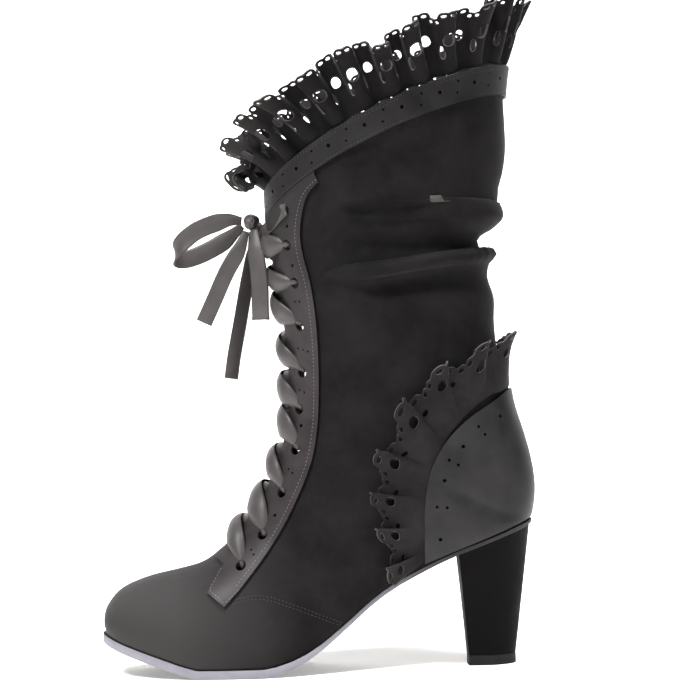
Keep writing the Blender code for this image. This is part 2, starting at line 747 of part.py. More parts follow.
def ruffle_edge_place(edge, back_row, spot, side):
    """Section and skin share of an edge at spot, 0 at the sole and 1 at the back seam."""
    stretches = len(edge)
    along = min(spot * stretches / (stretches - 1), 1.0)
    x, z = curve_point([(*point, 0.0) for point in edge], along)[:2]
    t, s = side_place(x, z, side)
    share = s / girth(t, side)
    rest = max(spot * stretches - (stretches - 1), 0.0)
    return t + (back_row - t) * rest, share + (1 - share) * rest


def make_counter_ruffle():
    columns = COUNTER_WAVES * COLUMNS_PER_WAVE + 1
    edges = []
    for column in range(columns):
        along = 2 * column / (columns - 1)
        side = OUTER if along <= 1 else INNER
        spot = along if along <= 1 else 2 - along
        sewn = ruffle_edge_place(COUNTER_RUFFLE_SEWN, COUNTER_RUFFLE_BACK[0], spot, side)
        free = ruffle_edge_place(COUNTER_RUFFLE_FREE, COUNTER_RUFFLE_BACK[1], spot, side)
        edges.append((side, sewn, free))
    points = []
    for width, wave, stand in zip(RUFFLE_STEPS, COUNTER_WAVE, COUNTER_STAND):
        for column, (side, sewn, free) in enumerate(edges):
            t = sewn[0] + (free[0] - sewn[0]) * width
            share = sewn[1] + (free[1] - sewn[1]) * width
            swing = wave * (1 + math.sin(2 * math.pi * column / COLUMNS_PER_WAVE))
            points.append(skin(t, share * girth(t, side), side, stand + swing))
    faces = sheet_faces(len(RUFFLE_STEPS), columns)
    ruffle = add_object("counter_ruffle", mesh_from("counter_ruffle", points, faces), SUEDE)
    thicken(ruffle, RUFFLE_THICKNESS, 0)
    return ruffle


counter_ruffle = make_counter_ruffle()


# Ribbon lacing: each crossing is two ribbons joined where they pass over each other

RIBBON_WIDTH = 10.0
RIBBON_THICKNESS = 0.7
LACE_STEPS = 7
LACE_LIFT = EYESTAY_THICKNESS + SEAM_GAP + 1.1
LACE_BULGE = 1.8


def strip(name, centres, acrosses, widths, collection=boot):
    """A flat ribbon along a line of centres, with its width laid along each across vector."""
    rings = []
    for i, (centre, across, width) in enumerate(zip(centres, acrosses, widths)):
        ahead = (centres[min(i + 1, len(centres) - 1)] - centres[max(i - 1, 0)]).normalized()
        half = (across - across.project(ahead)).normalized() * (width / 2)
        face = ahead.cross(half).normalized() * (RIBBON_THICKNESS / 2)
        rings.append([centre + half + face, centre - half + face, centre - half - face, centre + half - face])
    thing = stacked_loft(name, rings, RIBBON)
    if collection is not boot:
        boot.objects.unlink(thing)
        collection.objects.link(thing)
        hide(thing)
    return thing


def lace_line(side, low, high):
    """Centres and directions of the ribbon from one eyelet over the ridge to the other flap's edge."""
    (t_low, s_low), (t_high, _) = low, high
    centres = []
    normals = []
    for step in range(LACE_STEPS):
        share = step / (LACE_STEPS - 1)
        t = t_low + (t_high - t_low) * (0.12 + 0.62 * share)
        start = s_low + 0.5
        stop = -(throat(t) - 3.2)
        s = start + (stop - start) * share
        lift = LACE_LIFT + LACE_BULGE * math.sin(math.pi * share) - 1.2 * share
        centres.append(skin(t, s, side, lift))
        normals.append(skin_normal(t, s, side))
    return centres, normals


def make_crossing(number, outer_low, outer_high, inner_low, inner_high):
    widths = [RIBBON_WIDTH * min(1.0, 0.45 + 1.3 * math.sin(math.pi * step / (LACE_STEPS - 1) * 0.75))
              for step in range(LACE_STEPS)]
    pieces = []
    for side, low, high in ((OUTER, outer_low, outer_high), (INNER, inner_low, inner_high)):
        centres, normals = lace_line(side, low, high)
        acrosses = []
        for i, normal in enumerate(normals):
            ahead = centres[min(i + 1, LACE_STEPS - 1)] - centres[max(i - 1, 0)]
            acrosses.append(normal.cross(ahead))
        name = f"lace_crossing_{number}" if side == OUTER else f"lace_crossing_{number}_under"
        pieces.append(strip(name, centres, acrosses, widths, boot if side == OUTER else tools))
    boolean(pieces[0], pieces[1], "UNION")
    return pieces[0]


outer_eyelets = eyelet_places(OUTER)
inner_eyelets = eyelet_places(INNER)
crossings = [
    make_crossing(k + 1, outer_eyelets[k], outer_eyelets[k + 1], inner_eyelets[k], inner_eyelets[k + 1])
    for k in range(EYELETS - 1)
]


# Bow: the knot, two loops and two ends of the ribbon, in front of the top eyelets

KNOT = Vector((-52.5, 0.0, 248.5))
KNOT_RADII = (4.6, 6.0, 4.6)


def make_knot():
    shape = bmesh.new()
    bmesh.ops.create_uvsphere(shape, u_segments=12, v_segments=8, radius=MM)
    bmesh.ops.scale(shape, vec=KNOT_RADII, verts=shape.verts)
    bmesh.ops.translate(shape, vec=metres(KNOT), verts=shape.verts)
    mesh = bpy.data.meshes.new("bow_knot")
    shape.to_mesh(mesh)
    shape.free()
    return add_object("bow_knot", mesh, RIBBON)


knot = make_knot()

# Routes of the ribbon's free stretches, as places chosen along them, and the direction of their width
BOW_LOOP_FRONT = (
    (-57.8, -1.2, 249.2),
    (-67.0, -4.5, 249.5),
    (-82.0, -6.5, 244.5),
    (-92.0, -5.0, 237.0),
    (-96.0, 0.5, 231.5),
    (-92.0, 5.5, 229.0),
    (-82.0, 7.0, 231.5),
    (-68.0, 5.5, 238.5),
    (-57.8, 1.8, 246.6),
)
BOW_LOOP_HANGING = (
    (-50.5, -7.2, 244.0),
    (-50.4, -11.5, 233.0),
    (-48.6, -14.0, 216.0),
    (-48.6, -13.4, 201.0),
    (-48.6, -11.0, 194.5),
    (-48.6, -8.6, 201.0),
    (-48.6, -8.0, 216.0),
    (-50.6, -7.6, 232.0),
    (-52.0, -4.2, 243.4),
)
RIBBON_END_SHORT = (
    (-55.5, -6.0, 243.0),
    (-59.5, -8.0, 233.0),
    (-67.0, -7.5, 220.5),
    (-74.0, -6.5, 206.0),
    (-80.3, -5.0, 193.2),
)
RIBBON_END_LONG = (
    (-51.0, 6.4, 242.6),
    (-53.0, 7.8, 230.0),
    (-57.0, 7.0, 212.0),
    (-61.0, 6.2, 192.0),
    (-64.5, 4.0, 175.0),
    (-66.6, 3.0, 161.7),
)
UPRIGHT = Vector((0.0, 0.0, 1.0))
LENGTHWISE = Vector((1.0, 0.0, 0.0))
SKEWED = Vector((0.8, 0.6, 0.0))
AROUND_SHIN = Vector((0.93, -0.37, 0.0))
POINTS_PER_STRETCH = 2
PINCH = 0.4
PINCH_LENGTH = 14.0


def free_ribbon(name, route, across, width, both_ends_in_knot):
    """A free stretch of the ribbon, pinched where it comes out of the knot."""
    count = (len(route) - 1) * POINTS_PER_STRETCH + 1
    centres = [curve_point(route, step / (count - 1)) for step in range(count)]
    widths = []
    for centre in centres:
        reach = (centre - centres[0]).length
        if both_ends_in_knot:
            reach = min(reach, (centre - centres[-1]).length)
        widths.append(width * min(1.0, PINCH + (1 - PINCH) * reach / PINCH_LENGTH))
    return strip(name, centres, [across] * count, widths)


bow = [
    free_ribbon("bow_loop_front", BOW_LOOP_FRONT, UPRIGHT, RIBBON_WIDTH, True),
    free_ribbon("bow_loop_hanging", BOW_LOOP_HANGING, AROUND_SHIN, RIBBON_WIDTH, True),
    free_ribbon("ribbon_end_short", RIBBON_END_SHORT, LENGTHWISE, RIBBON_WIDTH, False),
    free_ribbon("ribbon_end_long", RIBBON_END_LONG, SKEWED, RIBBON_WIDTH * 0.9, False),
]


def make_top_strand(side, eyelet):
    """The ribbon from the top eyelet of one side to the knot."""
    t, s = eyelet
    away = skin_normal(t, s, side)
    start = skin(t, s - 0.5, side, LACE_LIFT)
    edge = skin(t - 0.15, throat(t) * 0.75, side, LACE_LIFT + 1.0)
    stop = KNOT + Vector((3.0, side * (KNOT_RADII[1] + 0.4), 2.8))
    middle = (edge + stop) / 2
    centres = [start, edge, middle, stop]
    widths = [4.5, 8.0, 7.0, 5.0]
    return strip("lace_top_" + SIDE_NAMES[side], centres, [UPRIGHT] * len(centres), widths)


top_strands = [
    make_top_strand(OUTER, outer_eyelets[-1]),
    make_top_strand(INNER, inner_eyelets[-1]),
]
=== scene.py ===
# Left Victorian lace-up boot with a slanted ruffled collar, ribbon lacing and a block heel.
# Tables are in millimetres. X runs from the toe (-) to the heel (+), and Y from the outer side (-) to the
# inner side (+).
import math
from collections import namedtuple

import bmesh
import bpy
import numpy as np
from mathutils import Matrix, Vector
from mathutils.geometry import delaunay_2d_cdt


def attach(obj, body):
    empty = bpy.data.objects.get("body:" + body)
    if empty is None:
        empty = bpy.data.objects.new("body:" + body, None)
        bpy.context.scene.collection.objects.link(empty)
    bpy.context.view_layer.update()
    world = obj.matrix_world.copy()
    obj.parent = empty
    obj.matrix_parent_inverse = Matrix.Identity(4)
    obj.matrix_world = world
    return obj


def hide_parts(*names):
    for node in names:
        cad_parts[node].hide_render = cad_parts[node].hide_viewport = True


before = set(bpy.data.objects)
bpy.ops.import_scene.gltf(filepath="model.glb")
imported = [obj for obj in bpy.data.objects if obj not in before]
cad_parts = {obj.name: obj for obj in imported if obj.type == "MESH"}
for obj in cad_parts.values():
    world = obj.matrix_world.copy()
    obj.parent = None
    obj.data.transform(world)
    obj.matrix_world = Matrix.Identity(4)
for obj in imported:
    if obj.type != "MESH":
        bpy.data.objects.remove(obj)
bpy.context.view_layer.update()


# Camera
# It stands level at the outer side of the boot, 1.3 m away at mid height, with a long lens.
# It is rolled a little, so that the heel side shows higher, as in the photograph.

MM = 0.001
ORIGIN_X = 19.5
CAMERA_DISTANCE = 1300.0
CAMERA_HEIGHT = 175.7
CAMERA_ROLL = math.radians(1.8)
CAMERA_LENS = 120.3


def place(point):
    """A point of the tables in the boot's own frame, in metres."""
    return Vector((point[0] + ORIGIN_X, point[1], point[2])) * MM


def turned(right, up, spot):
    """Matrix of an object at spot that looks away from right x up."""
    back = right.cross(up)
    return Matrix.Translation(spot) @ Matrix((right, up, back)).transposed().to_4x4()


camera_data = bpy.data.cameras.new("camera")
camera_data.lens = CAMERA_LENS
camera_data.sensor_width = 36.0
camera_data.clip_end = 50.0
camera = bpy.data.objects.new("camera", camera_data)
bpy.context.scene.collection.objects.link(camera)
camera.matrix_world = turned(
    Vector((math.cos(CAMERA_ROLL), 0.0, -math.sin(CAMERA_ROLL))),
    Vector((math.sin(CAMERA_ROLL), 0.0, math.cos(CAMERA_ROLL))),
    place((0.0, -CAMERA_DISTANCE, CAMERA_HEIGHT)),
)
bpy.context.scene.camera = camera


# Ribbon bow
# One satin ribbon is tied in front of the top eyelets: a knot, a loop to the front, a loop that hangs
# along the shin, and two cut ends. The ribbon is stiff enough to stand out as it was pulled.

KNOT = Vector((-52.5, 0.0, 248.5))
KNOT_RADII = (4.6, 6.0, 4.6)
RIBBON_WIDTH = 10.0
RIBBON_THICKNESS = 0.5
RIBBON_COLUMNS = 9
RIBBON_GREY = (0.05, 0.044, 0.0442)
RIBBON_DARK = (0.018, 0.016, 0.016)
RIBS_PER_MM = 1.25
BOW_LOOP_FRONT = (
    (-57.8, -1.2, 249.2),
    (-67.0, -4.5, 249.5),
    (-82.0, -6.5, 244.5),
    (-92.0, -5.0, 237.0),
    (-96.0, 0.5, 231.5),
    (-92.0, 5.5, 229.0),
    (-82.0, 7.0, 231.5),
    (-68.0, 5.5, 238.5),
    (-57.8, 1.8, 246.6),
)
BOW_LOOP_HANGING = (
    (-50.5, -7.2, 244.0),
    (-50.4, -11.5, 233.0),
    (-48.6, -14.0, 216.0),
    (-48.6, -13.4, 201.0),
    (-48.6, -11.0, 194.5),
    (-48.6, -8.6, 201.0),
    (-48.6, -8.0, 216.0),
    (-50.6, -7.6, 232.0),
    (-52.0, -4.2, 243.4),
)
RIBBON_END_SHORT = (
    (-55.5, -6.0, 243.0),
    (-59.5, -8.0, 233.0),
    (-67.0, -7.5, 220.5),
    (-74.0, -6.5, 206.0),
    (-80.3, -5.0, 193.2),
)
RIBBON_END_LONG = (
    (-51.0, 6.4, 242.6),
    (-53.0, 7.8, 230.0),
    (-57.0, 7.0, 212.0),
    (-61.0, 6.2, 192.0),
    (-64.5, 4.0, 175.0),
    (-66.6, 3.0, 161.7),
)
UPRIGHT = Vector((0.0, 0.0, 1.0))
LENGTHWISE = Vector((1.0, 0.0, 0.0))
SKEWED = Vector((0.8, 0.6, 0.0))
AROUND_SHIN = Vector((0.93, -0.37, 0.0))
PINCH = 0.4
PINCH_LENGTH = 14.0
CUT_END_WIDTH = 9.0
KNOT_LUMPS = 0.07
KNOT_FURROW = 0.08
KNOT_FURROW_WIDTH = 0.25
STEPS_PER_STRETCH = 6


class Number:
    """A value on a shader's surface, with Python's arithmetic."""

    def __init__(self, finish, socket):
        self.finish = finish
        self.socket = socket

    def maths(self, operation, *values):
        return self.finish.node("ShaderNodeMath", {"operation": operation}, *values)

    def __add__(self, other):
        return self.maths("ADD", self, other)

    def __radd__(self, other):
        return self.maths("ADD", other, self)

    def __mul__(self, other):
        return self.maths("MULTIPLY", self, other)

    def __rmul__(self, other):
        return self.maths("MULTIPLY", other, self)


class Finish:
    """A procedural material: constants go on the shader's sockets, and what varies is linked to them."""

    def __init__(self, name, **constants):
        self.material = bpy.data.materials.new(name)
        self.material.use_nodes = True
        self.tree = self.material.node_tree
        self.shader = self.tree.nodes["Principled BSDF"]
        for socket, value in constants.items():
            self.shader.inputs[socket.replace("_", " ")].default_value = value

    def node(self, kind, settings=None, *values, output=0, **named):
        """A node with its settings made first, then its sockets by place or by name."""
        made = self.tree.nodes.new(kind)
        for key, value in (settings or {}).items():
            setattr(made, key, value)
        for key, value in [*enumerate(values), *named.items()]:
            socket = made.inputs[key if isinstance(key, int) else key.replace("_", " ")]
            if isinstance(value, Number):
                self.tree.links.new(value.socket, socket)
            else:
                socket.default_value = value
        return Number(self, made.outputs[output])

    def feed(self, socket, value):
        self.tree.links.new(value.socket, self.shader.inputs[socket])

    def place_on(self):
        """Object coordinates in millimetres."""
        spot = self.node("ShaderNodeTexCoord", output="Object")
        return self.node("ShaderNodeVectorMath", {"operation": "SCALE"}, spot, Scale=1 / MM)

    def noise(self, where, size, detail=2.0, roughness=0.5):
        """Noise with blobs of about that size in millimetres."""
        return self.node(
            "ShaderNodeTexNoise", {"noise_dimensions": "3D"}, Vector=where, Scale=1.0 / size, Detail=detail,
            Roughness=roughness,
        )

    def spread(self, value, low, high):
        """0 at low, 1 at high."""
        return self.node("ShaderNodeMapRange", {"clamp": True}, value, low, high)

    def blend(self, factor, one, other):
        mix = self.tree.nodes.new("ShaderNodeMix")
        mix.data_type = "RGBA"
        for socket, value in ((mix.inputs[0], factor), (mix.inputs[6], one), (mix.inputs[7], other)):
            if isinstance(value, Number):
                self.tree.links.new(value.socket, socket)
            else:
                socket.default_value = value if isinstance(value, float) else (*value, 1.0)
        return Number(self, mix.outputs[2])

    def bump(self, height, strength, distance):
        made = self.node("ShaderNodeBump", None, Strength=strength, Distance=distance * MM, Height=height)
        self.feed("Normal", made)


def ribbon_finish():
    """Ribbed satin: fine ribs across the ribbon and a soft woven edge."""
    satin = Finish("satin_ribbon", Specular_IOR_Level=0.3)
    uv = satin.node("ShaderNodeUVMap", {"uv_map": "weave"})
    across = satin.node("ShaderNodeSeparateXYZ", None, uv, output=0)
    along = satin.node("ShaderNodeSeparateXYZ", None, uv, output=1)
    ribs = satin.node("ShaderNodeMath", {"operation": "SINE"}, along * (2 * math.pi * RIBS_PER_MM))
    where = satin.place_on()
    cloud = satin.noise(where, 9.0)
    edge = satin.spread(satin.node("ShaderNodeMath", {"operation": "ABSOLUTE"}, across), 0.86, 0.97)
    shade = satin.spread(cloud, 0.3, 0.7)
    satin.feed("Base Color", satin.blend(edge * 0.5 + shade * 0.35, RIBBON_GREY, RIBBON_DARK))
    satin.feed("Roughness", shade * 0.12 + 0.36)
    satin.bump(ribs * 0.5 + edge * 0.8, 0.35, 0.12)
    return satin.material


RIBBON = ribbon_finish()


def between(before, here, after, beyond, f):
    """Place f, 0 to 1, from here to after, on a smooth curve from before to beyond."""
    slope_here = (after - before) / 2
    slope_after = (beyond - here) / 2
    return (
        here * (2 * f**3 - 3 * f**2 + 1)
        + slope_here * (f**3 - 2 * f**2 + f)
        + after * (-2 * f**3 + 3 * f**2)
        + slope_after * (f**3 - f**2)
    )


def smooth_curve(route, place_on_it):
    """Point at 0 to 1 on a smooth curve through a route's evenly placed points."""
    spot = place_on_it * (len(route) - 1)
    i = min(int(spot), len(route) - 2)
    near = [Vector(route[min(max(i + k, 0), len(route) - 1)]) for k in (-1, 0, 1, 2)]
    return between(*near, spot - i)


def mesh_of(name, shape):
    """A mesh of a bmesh, which is then freed."""
    mesh = bpy.data.meshes.new(name)
    shape.to_mesh(mesh)
    shape.free()
    return mesh


def add_piece(name, mesh, *materials):
    piece = bpy.data.objects.new(name, mesh)
    bpy.context.scene.collection.objects.link(piece)
    for material in materials:
        mesh.materials.append(material)
    mesh.shade_smooth()
    return piece


def ribbon_strips(name, strips):
    """One mesh of thin ribbons. A strip is (centres, across vectors, widths, crown): crown bows it out."""
    shape = bmesh.new()
    layer = shape.loops.layers.uv.new("weave")
    for centres, acrosses, widths, crown in strips:
        rings = []
        lengths = [0.0]
        for i, (centre, across, width) in enumerate(zip(centres, acrosses, widths)):
            ahead = (centres[min(i + 1, len(centres) - 1)] - centres[max(i - 1, 0)]).normalized()
            side = (across - across.project(ahead)).normalized()
            face = ahead.cross(side).normalized()
            if i:
                lengths.append(lengths[-1] + (centre - centres[i - 1]).length)
            ring = []
            for layer_side in (1, -1):
                for k in range(RIBBON_COLUMNS):
                    share = (2 * k / (RIBBON_COLUMNS - 1) - 1) * layer_side
                    rise = crown * (1 - share * share) + layer_side * RIBBON_THICKNESS / 2
                    point = centre + side * (share * width / 2) + face * rise
                    ring.append((shape.verts.new(place(point)), share))
            rings.append(ring)
        count = 2 * RIBBON_COLUMNS
        for i in range(len(rings) - 1):
            for k in range(count):
                corners = [
                    (rings[i][k], lengths[i]),
                    (rings[i][(k + 1) % count], lengths[i]),
                    (rings[i + 1][(k + 1) % count], lengths[i + 1]),
                    (rings[i + 1][k], lengths[i + 1]),
                ]
                face = shape.faces.new([corner[0][0] for corner in corners])
                for loop, ((_, share), length) in zip(face.loops, corners):
                    loop[layer].uv = (share, length)
        for ring in (rings[0][::-1], rings[-1]):
            shape.faces.new([vertex for vertex, _ in ring])
    bmesh.ops.recalc_face_normals(shape, faces=shape.faces)
    return add_piece(name, mesh_of(name, shape), RIBBON)


def free_ribbon(name, route, across, width, crown, in_knot_twice):
    """A free stretch of the ribbon, pinched where it leaves the knot, with its centre line."""
    count = (len(route) - 1) * STEPS_PER_STRETCH + 1
    centres = [smooth_curve(route, step / (count - 1)) for step in range(count)]
    widths = []
    for centre in centres:
        reach = (centre - centres[0]).length
        if in_knot_twice:
            reach = min(reach, (centre - centres[-1]).length)
        widths.append(width * min(1.0, PINCH + (1 - PINCH) * reach / PINCH_LENGTH))
    return ribbon_strips(name, [(centres, [across] * count, widths, crown)]), centres


def make_knot():
    """The knot: ribbon wrapped tight, with three soft creases."""
    shape = bmesh.new()
    bmesh.ops.create_uvsphere(shape, u_segments=48, v_segments=28, radius=1.0)
    for vertex in shape.verts:
        turn = math.atan2(vertex.co.z, vertex.co.x)
        furrow = math.exp(-((vertex.co.y / KNOT_FURROW_WIDTH) ** 2))
        crease = 1 + KNOT_LUMPS * math.cos(3 * turn + 4 * vertex.co.y) - KNOT_FURROW * furrow
        vertex.co = Vector([c * r for c, r in zip(vertex.co * crease, KNOT_RADII)]) * MM
    bmesh.ops.translate(shape, vec=place(KNOT), verts=shape.verts)
    return add_piece("ribbon_knot", mesh_of("ribbon_knot", shape), RIBBON)


knot = make_knot()
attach(knot, "root")
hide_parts("bow_knot")
FreeRibbon = namedtuple("FreeRibbon", "name route across width crown in_knot_twice node far_end")
FREE_RIBBONS = (
    FreeRibbon("loop_to_front", BOW_LOOP_FRONT, UPRIGHT, RIBBON_WIDTH, 0.6, True, "bow_loop_front", "knot"),
    FreeRibbon(
        "loop_along_shin", BOW_LOOP_HANGING, AROUND_SHIN, RIBBON_WIDTH, 0.5, True, "bow_loop_hanging", "knot"
    ),
    FreeRibbon(
        "cut_end_short", RIBBON_END_SHORT, LENGTHWISE, CUT_END_WIDTH, 0.5, False, "ribbon_end_short", "bare"
    ),
    FreeRibbon("cut_end_long", RIBBON_END_LONG, SKEWED, CUT_END_WIDTH, 0.5, False, "ribbon_end_long", "bare"),
)
for name, route, across, width, crown, in_knot_twice, node, far_end in FREE_RIBBONS:
    ribbon, centres = free_ribbon(name, route, across, width, crown, in_knot_twice)
    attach(ribbon, "root")
    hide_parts(node)
    place(centres[0])
    sum((b - a).length for a, b in zip(centres, centres[1:])) * MM
    [place(centre) for centre in centres]


# Shape of the last and the shaft
# The upper is pulled over a last with a round toe and a high instep, and the shaft above it is slack.
# Every piece that lies on the foot is read from these sections.

OUTER = -1
INNER = 1
SIDES = (OUTER, INNER)
SIDE_NAMES = {OUTER: "outer", INNER: "inner"}
WALL = 1.8
GAP = 0.3
SAG = 12.0
WELT = 2.6
Section = namedtuple(
    "Section",
    "ridge_x ridge_z end_x end_z outer inner outer_end inner_end widest front rear shift sag fold throat",
)
SECTIONS = (
    Section(-139.8, 22.9, -139.8, None, -4.0, 4.0, -4.0, 4.0, 0.60, 2.2, 2.4, 4.0, 0, 0, 0),
    Section(-141.2, 30.5, -138.2, None, 9.0, 16.0, 6.5, 13.5, 0.62, 2.2, 2.4, 4.0, 0, 0, 0),
    Section(-139.0, 38.5, -131.5, None, 19.5, 24.0, 16.0, 20.5, 0.68, 2.3, 2.6, 4.0, 0, 0, 0),
    Section(-131.0, 47.3, -121.0, None, 27.0, 29.5, 23.5, 26.0, 0.72, 2.3, 2.8, 3.5, 0, 0, 0),
    Section(-116.0, 53.5, -106.0, None, 33.5, 33.5, 30.0, 30.0, 0.75, 2.2, 3.0, 3.0, 0, 0, 0),
    Section(-100.0, 57.0, -88.0, None, 38.0, 36.0, 34.5, 32.5, 0.77, 2.1, 3.0, 3.0, 0, 0, 0),
    Section(-87.0, 60.2, -70.0, None, 40.5, 37.5, 37.0, 34.0, 0.78, 2.0, 3.0, 3.0, 0, 0, 0),
    Section(-78.0, 65.5, -52.0, None, 41.0, 37.0, 37.5, 33.5, 0.78, 2.0, 3.0, 3.0, 0, 0, 0),
    Section(-68.5, 75.0, -36.0, None, 39.5, 34.5, 35.0, 29.0, 0.76, 2.0, 2.8, 3.0, 0, 0, 12.0),
    Section(-59.5, 85.5, -20.0, None, 36.5, 32.0, 30.0, 22.5, 0.74, 2.0, 2.6, 2.5, 0, 0, 11.5),
    Section(-50.5, 98.5, -3.0, None, 34.0, 31.0, 26.0, 18.0, 0.70, 2.0, 2.5, 2.0, 0, 0, 11.0),
    Section(-44.0, 112.5, 14.0, None, 32.5, 31.0, 23.5, 18.0, 0.66, 2.1, 2.5, 1.5, 0, 0, 10.5),
    Section(-38.8, 125.5, 33.0, None, 32.0, 31.5, 23.0, 20.5, 0.62, 2.2, 2.5, 1.0, 0, 0, 10.0),
    Section(-35.8, 137.0, 55.0, None, 32.0, 32.0, 24.4, 24.0, 0.58, 2.2, 2.6, 0.5, 0, 0, 9.5),
    Section(-35.0, 144.5, 77.0, None, 32.0, 32.0, 24.2, 24.2, 0.54, 2.2, 2.5, 0.0, 0, 0, 9.5),
    Section(-34.9, 150.5, 90.0, None, 32.3, 32.3, 16.3, 16.3, 0.51, 2.2, 2.0, 0.0, 0, 0, 9.5),
    Section(-34.8, 156.0, 95.2, None, 32.5, 32.5, 0.0, 0.0, 0.50, 2.2, 2.7, 0.0, 0, 0, 9.5),
    Section(-34.7, 161.0, 98.0, 91.0, 32.7, 32.7, 0.0, 0.0, 0.50, 2.2, 2.6, 0.0, 0, 0, 9.5),
    Section(-34.6, 166.0, 98.3, 102.0, 33.0, 33.0, 0.0, 0.0, 0.50, 2.2, 2.5, 0.0, 0, 0, 9.5),
    Section(-34.6, 171.5, 96.2, 115.0, 34.0, 34.0, 0.0, 0.0, 0.50, 2.2, 2.6, 0.0, 0, 0, 9.5),
    Section(-34.8, 177.0, 92.6, 129.0, 35.0, 35.0, 0.0, 0.0, 0.50, 2.2, 2.5, 0.0, 0, 0, 9.5),
    Section(-35.0, 182.5, 88.3, 143.0, 36.5, 36.5, 0.0, 0.0, 0.50, 2.2, 2.4, 0.0, 0, 0, 9.5),
    Section(-35.4, 188.0, 86.5, 156.0, 38.0, 38.0, 0.0, 0.0, 0.50, 2.2, 2.3, 0.0, 0, 0, 9.5),
    Section(-36.0, 193.5, 81.9, 172.0, 40.0, 40.0, 0.0, 0.0, 0.50, 2.2, 2.2, 0.0, 0, 0, 9.5),
    Section(-36.8, 199.0, 80.4, 188.0, 42.0, 42.0, 0.0, 0.0, 0.50, 2.2, 2.2, 0.0, 0, 0, 9.5),
    Section(-37.5, 204.0, 80.7, 202.0, 43.5, 43.5, 0.0, 0.0, 0.50, 2.2, 2.2, 0.0, 0, 0, 9.5),
    Section(-38.0, 208.0, 77.5, 214.0, 44.5, 44.5, 0.0, 0.0, 0.50, 2.2, 2.2, 0.0, 0, 0, 9.5),
    Section(-38.6, 212.0, 79.0, 225.5, 45.5, 45.5, 0.0, 0.0, 0.50, 2.2, 2.2, 0.0, 0, 1.5, 9.5),
    Section(-38.9, 214.5, 75.0, 230.2, 45.5, 45.5, 0.0, 0.0, 0.50, 2.2, 2.2, 0.0, 0.05, -2.5, 9.5),
    Section(-39.6, 219.5, 82.6, 240.7, 46.5, 46.5, 0.0, 0.0, 0.50, 2.2, 2.2, 0.0, 0.40, 1.5, 9.5),
    Section(-40.2, 224.0, 86.5, 246.5, 47.0, 47.0, 0.0, 0.0, 0.50, 2.2, 2.2, 0.0, 0.70, 3.0, 9.5),
    Section(-40.7, 228.0, 80.6, 252.9, 47.2, 47.2, 0.0, 0.0, 0.50, 2.2, 2.2, 0.0, 0.95, -2.0, 9.5),
    Section(-41.2, 232.0, 83.4, 261.0, 47.8, 47.8, 0.0, 0.0, 0.50, 2.2, 2.2, 0.0, 1.0, -0.5, 9.5),
    Section(-41.8, 236.0, 87.5, 271.0, 48.3, 48.3, 0.0, 0.0, 0.50, 2.2, 2.2, 0.0, 1.0, 0, 9.5),
    Section(-42.3, 240.0, 89.6, 284.0, 49.0, 49.0, 0.0, 0.0, 0.50, 2.2, 2.2, 0.0, 1.0, 0, 9.5),
    Section(-42.8, 243.5, 89.6, 299.0, 49.5, 49.5, 0.0, 0.0, 0.50, 2.2, 2.2, 0.0, 1.0, 0, 9.5),
    Section(-43.0, 247.0, 89.3, 313.0, 50.0, 50.0, 0.0, 0.0, 0.50, 2.2, 2.2, 0.0, 1.0, 0, 9.5),
    Section(-43.3, 262.0, 91.4, 329.5, 51.0, 51.0, 0.0, 0.0, 0.50, 2.2, 2.2, 0.0, 1.0, 0, 9.5),
)
HEEL_ROW = 16
ROUND_ROW = 14
HEEL_HALF = 24.3
HEEL_ROUND = 20.0
BAND_ROW = 36
TOP_ROW = len(SECTIONS) - 1
OUTLINE_STEPS = 241
SLOPE_ROWS = 0.2
SLOPE_REACH = 1.5
LOWEST_PLACE = 4.0
HALVINGS = 24
SoleStation = namedtuple("SoleStation", "x bottom thickness")
SOLE_STATIONS = (
    SoleStation(-142.0, 18.2, 5.0),
    SoleStation(-131.5, 14.0, 5.0),
    SoleStation(-121.0, 10.4, 5.0),
    SoleStation(-106.0, 5.4, 5.0),
    SoleStation(-97.0, 2.4, 4.9),
    SoleStation(-88.0, 0.0, 4.8),
    SoleStation(-52.0, 0.0, 4.8),
    SoleStation(-45.0, 1.3, 4.6),
    SoleStation(-36.0, 4.4, 4.2),
    SoleStation(-28.0, 8.2, 3.9),
    SoleStation(-20.0, 13.4, 3.6),
    SoleStation(-12.0, 19.7, 3.4),
    SoleStation(-3.0, 27.2, 3.2),
    SoleStation(5.0, 34.2, 3.1),
    SoleStation(14.0, 41.0, 3.0),
    SoleStation(23.0, 46.6, 2.8),
    SoleStation(33.0, 51.8, 2.6),
    SoleStation(44.0, 57.2, 2.4),
    SoleStation(55.0, 62.0, 2.3),
    SoleStation(98.0, 77.6, 2.2),
)


def sole_bottom(x):
    return float(np.interp(x, [s.x for s in SOLE_STATIONS], [s.bottom for s in SOLE_STATIONS]))


def sole_top(x):
    thick = np.interp(x, [s.x for s in SOLE_STATIONS], [s.thickness for s in SOLE_STATIONS])
    return sole_bottom(x) + float(thick)


TABLE = np.array(
    [row._replace(end_z=sole_top(row.end_x) + GAP if row.end_z is None else row.end_z) for row in SECTIONS],
    dtype=float,
)


def section_at(t):
    """Section at place t, on a smooth curve through the table. Its feather edge is round at the heel."""
    i = int(min(max(math.floor(t), 0), TOP_ROW - 1))
    near = [TABLE[min(max(i + k, 0), TOP_ROW)] for k in (-1, 0, 1, 2)]
    row = Section(*between(*near, t - i))
    if t >= HEEL_ROW:
        return row._replace(outer_end=0.0, inner_end=0.0)
    row = row._replace(end_z=sole_top(row.end_x) + GAP)
    if t <= ROUND_ROW:
        return row
    past = 1 - (TABLE[HEEL_ROW][2] - row.end_x) / HEEL_ROUND
    reach = HEEL_HALF * math.sqrt(max(1 - past * past, 0.0))
    return row._replace(outer_end=reach, inner_end=reach)


def smooth(value):
    value = np.clip(value, 0.0, 1.0)
    return value * value * (3 - 2 * value)


